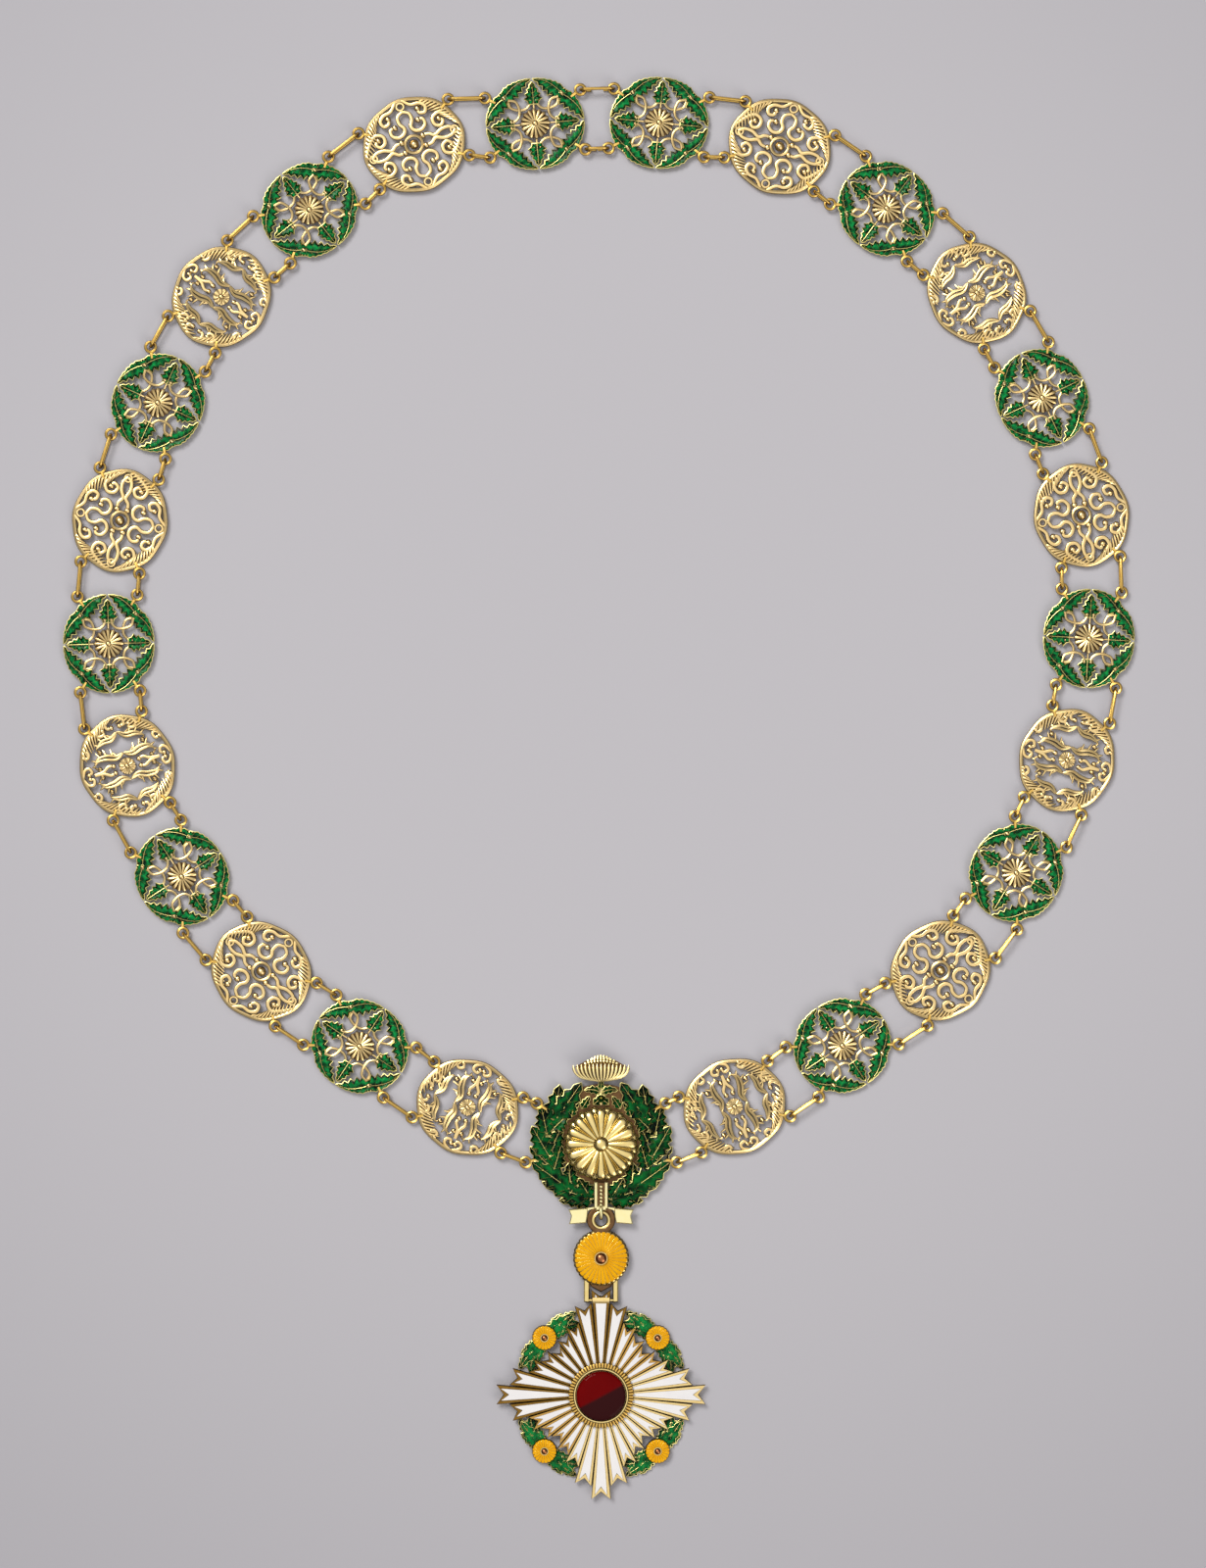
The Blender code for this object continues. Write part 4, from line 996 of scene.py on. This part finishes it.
disc_shape = Shape()
petal_disc(disc_shape, 8.0, 32, 0.4, 2.95, 3.85, 0.2)
ring(disc_shape, (0, 10.75, LOOP_LEVEL), 2.3, 0.65, GOLD, 28, 10)
for side in (-1, 1):
    arm = [(side * x, y) for x, y in ((3.3, -6.4), (4.9, -6.2), (4.9, -12.7), (3.3, -12.9))]
    slab(disc_shape, arm, 1.0, 2.2, GOLD, 0.3)
# The shield between the arms is painted shade brown.
shield = [(-3.4, -6.9), (3.4, -6.9), (2.9, -8.3), (0, -9.9), (-2.9, -8.3)]
slab(disc_shape, shield, 1.0, 2.1, SHIELD, 0.3)
pin = [(x, -HINGE_DROP, HINGE_LEVEL) for x in (-4.6, -2.0, 2.0, 4.6)]
tube(disc_shape, pin, 0.5, GOLD, 10, across=(0, 1, 0))
disc_mesh = disc_shape.mesh("petal_disc", (rosette_gold, yellow, painted_shade_brown))
make_piece("petal_disc", disc_mesh, "collar", ["flower_disc"], disc_place)

boss_shape = Shape()
ball(boss_shape, (0, 0, 4.2), 1.75, 0, 18, flat=0.65)
ring(boss_shape, (0, 0, 4.25), 1.75, 0.22, 1, 24, 6)
boss_mesh = boss_shape.mesh("disc_boss", (copper, rosette_gold))
make_piece("disc_boss", boss_mesh, "collar", ["flower_disc_boss"], disc_place)

# The sun badge, which swings on the pin.
# Thirty-two rays of glossy white enamel lie in gold frames with notched tips, over green enamel
# leaves with a yellow flower at each corner. A dark red stone sits in a bezel in the middle.
# The frames carry a painted reflection: dark brown towards the upper left and pale towards the lower
# right.
badge_place = flat_middle(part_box("badge_cabochon"))
RAYS = 32
RAY_TIPS = (29.85, 26.19, 21.6, 19.59, 18.39)
RAY_NOTCHES = (27.81, 24.39, 19.5, 17.79, 16.5)
RAY_FOOT = 7.4
RAY_LENGTH = 22.6
RAY_DOME = 0.6  # how far a ray drops from its foot to its tip
RAY_LOW = 1.3
RAY_ROWS = (  # how far a row is drawn in from the sides and the end, its start and its level
    (0.0, 0.0, RAY_FOOT, RAY_LOW),
    (0.0, 0.0, RAY_FOOT, 2.85),
    (0.12, 0.2, RAY_FOOT, 3.1),
    (0.56, 1.4, RAY_FOOT, 3.1),
    (0.64, 1.6, 8.6, 2.95),
)
WHITE, MID_REFLECTION_GOLD, DARK_REFLECTION_GOLD = 1, 2, 3
DARK_REFLECTION_WAY = math.radians(135)
white = enamel_finish("white_enamel", "F6F5F8", "F0EFF4", -1.0, 1.0, 0.1, 200.0, 0.05)
# Three copies of one gold with a painted reflection: pale, middle and dark brown.
ray_gold = gold_finish("ray_gold_painted_pale_reflection", "FCE6AC", "ECCB80", 0.42, 0.05, 0.1)
mid_reflection_ray_gold = gold_finish("ray_gold", "DDB468", "B98C40", 0.38, 0.05, 0.1)
dark_reflection_ray_gold = gold_finish("ray_gold_painted_dark_reflection", "A5803C", "6E4E1C", 0.35, 0.05, 0.1)


def ray_outline(angle, tip, notch, side, end, base):
    """Five corners of a ray, drawn in from its sides, from its swallow-tail end and from its base."""
    out = Vector((math.cos(angle), math.sin(angle)))
    point = tip - end * 0.75
    corners = []
    for hand, reach in ((-1, base), (-1, point), (0, notch - end), (1, point), (1, base)):
        half = reach * math.tan(math.pi / RAYS * 0.955) - side * (0.42 + 0.58 * reach / 15)
        corners.append(out * reach + Vector((-out.y, out.x)) * half * hand)
    return corners


sun_shape = Shape()
for i in range(RAYS):
    step = min(i % 8, 8 - i % 8)
    angle = math.tau * i / RAYS
    tip, notch = RAY_TIPS[step], RAY_NOTCHES[step]
    corners = []
    for side, end, base, level in RAY_ROWS:
        for point in ray_outline(angle, tip, notch, side, end, base):
            slope = RAY_DOME * (point.length - RAY_FOOT) / RAY_LENGTH if level > RAY_LOW else 0.0
            corners.append((*point, level - slope))
    faces = [tuple(range(5))] + band_faces(len(RAY_ROWS), 5)
    # Painted reflection: each frame takes the dark, middle or pale gold by the way it points.
    towards = math.cos(angle - DARK_REFLECTION_WAY)
    tone = DARK_REFLECTION_GOLD if towards > 0.5 else MID_REFLECTION_GOLD if towards > -0.25 else GOLD
    start = len(sun_shape.corners)
    sun_shape.add(corners, faces, tone)
    sun_shape.kinds[-len(faces)] = GOLD  # the back is one gold all round
    for face in ((20, 21, 22), (20, 22, 24), (22, 23, 24)):
        sun_shape.faces.append([start + k for k in face])
        sun_shape.kinds.append(WHITE)
hub = [polar(math.tau * i / 48, 9.0) for i in range(48)]
slab(sun_shape, hub, 0.0, 2.3, GOLD, 0.2)
knuckle = [(x, 26.9, HINGE_LEVEL) for x in (-2.4, -1.2, 1.2, 2.4)]
tube(sun_shape, knuckle, 1.25, GOLD, 14, across=(0, 1, 0))
sun_finishes = (ray_gold, white, mid_reflection_ray_gold, dark_reflection_ray_gold)
sun_mesh = sun_shape.mesh("sun_rays", sun_finishes, 25)
make_piece("sun_rays", sun_mesh, "badge", ["badge_sun"], badge_place)

# The bezel, a ring of polished gold round the stone, with a fringe of short tongues.
BEZEL_PROFILE = (  # radius and level
    (9.0, 3.4), (9.0, 3.5), (8.0, 3.7), (7.95, 4.5), (7.7, 4.7), (7.4, 4.7), (7.2, 4.5), (7.2, 3.4),
)
TONGUE_LINE = ((7.8, 3.95), (8.5, 3.9), (9.1, 3.75), (9.4, 3.6))
TONGUES = 64
bezel_shape = Shape()
turned(bezel_shape, BEZEL_PROFILE, GOLD, closed=True)
for i in range(TONGUES):
    angle = math.tau * (i + 0.5) / TONGUES
    line = [(*polar(angle, reach), level) for reach, level in TONGUE_LINE]
    tube(bezel_shape, line, [0.32, 0.40, 0.40, 0.16], LINK, 6)
bezel_mesh = bezel_shape.mesh("stone_bezel", (rosette_gold, link_gold), 30)
make_piece("stone_bezel", bezel_mesh, "badge", ["badge_bezel"], badge_place)

# The stone, a polished cabochon of deep red. Painted light makes it redder towards the upper left
# and painted shade makes it nearly black towards the lower right, with a narrow change between them.
STONE_PROFILE = (  # radius and level
    (6.9, 3.45), (7.0, 4.5), (7.0, 5.3), (6.93, 5.6), (6.75, 5.83), (6.4, 5.97),
    (5.5, 6.18), (4.5, 6.38), (3.4, 6.55), (2.2, 6.68), (1.0, 6.76), (0.3, 6.78),
)
stone_finish, stone_tree, stone_shader = start_finish("polished_red_stone")
stone_shader.inputs["Roughness"].default_value = 0.03
stone_shader.inputs["Specular IOR Level"].default_value = 0.03
stone_place = add_node(stone_tree, "TexCoord")
stone_cloud = add_node(stone_tree, "TexNoise", Scale=120.0, Detail=2.0)
stone_across = add_node(stone_tree, "VectorMath", operation="DOT_PRODUCT")
stone_across.inputs[1].default_value = (469.0, -883.0, 0.0)
stone_edge = smooth_step(stone_tree, -0.5, 0.5)
stone_tint = mix_colours(stone_tree, "780608", "5E0406")
# Painted shade: the lower right of the stone is mixed towards near black across a slanting line.
stone_painted_shade = add_node(stone_tree, "Mix", data_type="RGBA")
stone_painted_shade.inputs[7].default_value = linear("361416")
connect(
    stone_tree,
    (stone_place, "Object", stone_cloud, "Vector"),
    (stone_place, "Object", stone_across, 0),
    (stone_across, "Value", stone_edge, "Value"),
    (stone_cloud, "Fac", stone_tint, 0),
    (stone_tint, 2, stone_painted_shade, 6),
    (stone_edge, "Result", stone_painted_shade, 0),
    (stone_painted_shade, 2, stone_shader, "Base Color"),
)
stone_shape = Shape()
turned(stone_shape, STONE_PROFILE, 0)
stone_mesh = stone_shape.mesh("red_stone", (stone_finish,), 60)
make_piece("red_stone", stone_mesh, "badge", ["badge_cabochon"], badge_place)

# The leaf sprays and the yellow flowers behind the rays, four of each.
# They're bright green and yellow enamel in gold cells, soldered to the back of the sun.
BADGE_LEAF_LOOK = {
    "low": 0.05, "edge": 0.75, "crown": 0.25, "thread": 0.10, "vein": 0.07, "lead": 0.06,
    "notch": 0.74, "point": 1.10,
}
BADGE_SPRAY = (  # angle from the axis, radius of the base, heading off the rim line, length, width
    (43, 22.4, 2, 9.8, 4.6),
    (42, 22.6, 30, 6.6, 4.2),
    (40, 21.8, -26, 6.8, 4.0),
    (32, 22.6, 26, 6.2, 4.2),
    (30, 22.0, -20, 5.8, 4.0),
)
badge_green = enamel_finish("bright_green_enamel", "0C8C42", "001408", 0.58, 0.96, 0.16, 500.0, 0.5, 0.09)
for corner in range(4):
    spray = Shape()
    middle = math.pi / 4 + math.pi / 2 * corner
    for side in (-1, 1):
        for number, (from_axis, radius, lean, length, width) in enumerate(BADGE_SPRAY):
            angle = middle + side * math.radians(45 - from_axis)
            base = polar(angle, radius)
            heading = angle + side * math.radians(90 + lean)
            tip = base + polar(heading, length)
            leaf(spray, base, tip, width, 4, BADGE_LEAF_LOOK, -0.5 * side, 0.6, (1, 0), -0.02 * number)
    mesh = spray.mesh(f"leaf_spray_{corner + 1}", (thread_gold, badge_green))
    nodes = [f"badge_leaves_{corner + 1}"]
    make_piece(f"leaf_spray_{corner + 1}", mesh, "badge", nodes, badge_place)
    flower_place = flat_middle(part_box(f"badge_flower_{corner + 1}"))
    flower = Shape()
    petal_disc(flower, 3.6, 20, 1.3, 2.15, 2.5, 0.25)
    ball(flower, (0, 0, 2.45), 0.95, COPPER, 14, flat=0.75)
    ring(flower, (0, 0, 2.45), 1.05, 0.18, GOLD, 18, 6)
    mesh = flower.mesh(f"corner_flower_{corner + 1}", (rosette_gold, yellow, copper))
    nodes = [f"badge_flower_{corner + 1}"]
    make_piece(f"corner_flower_{corner + 1}", mesh, "badge", nodes, flower_place)
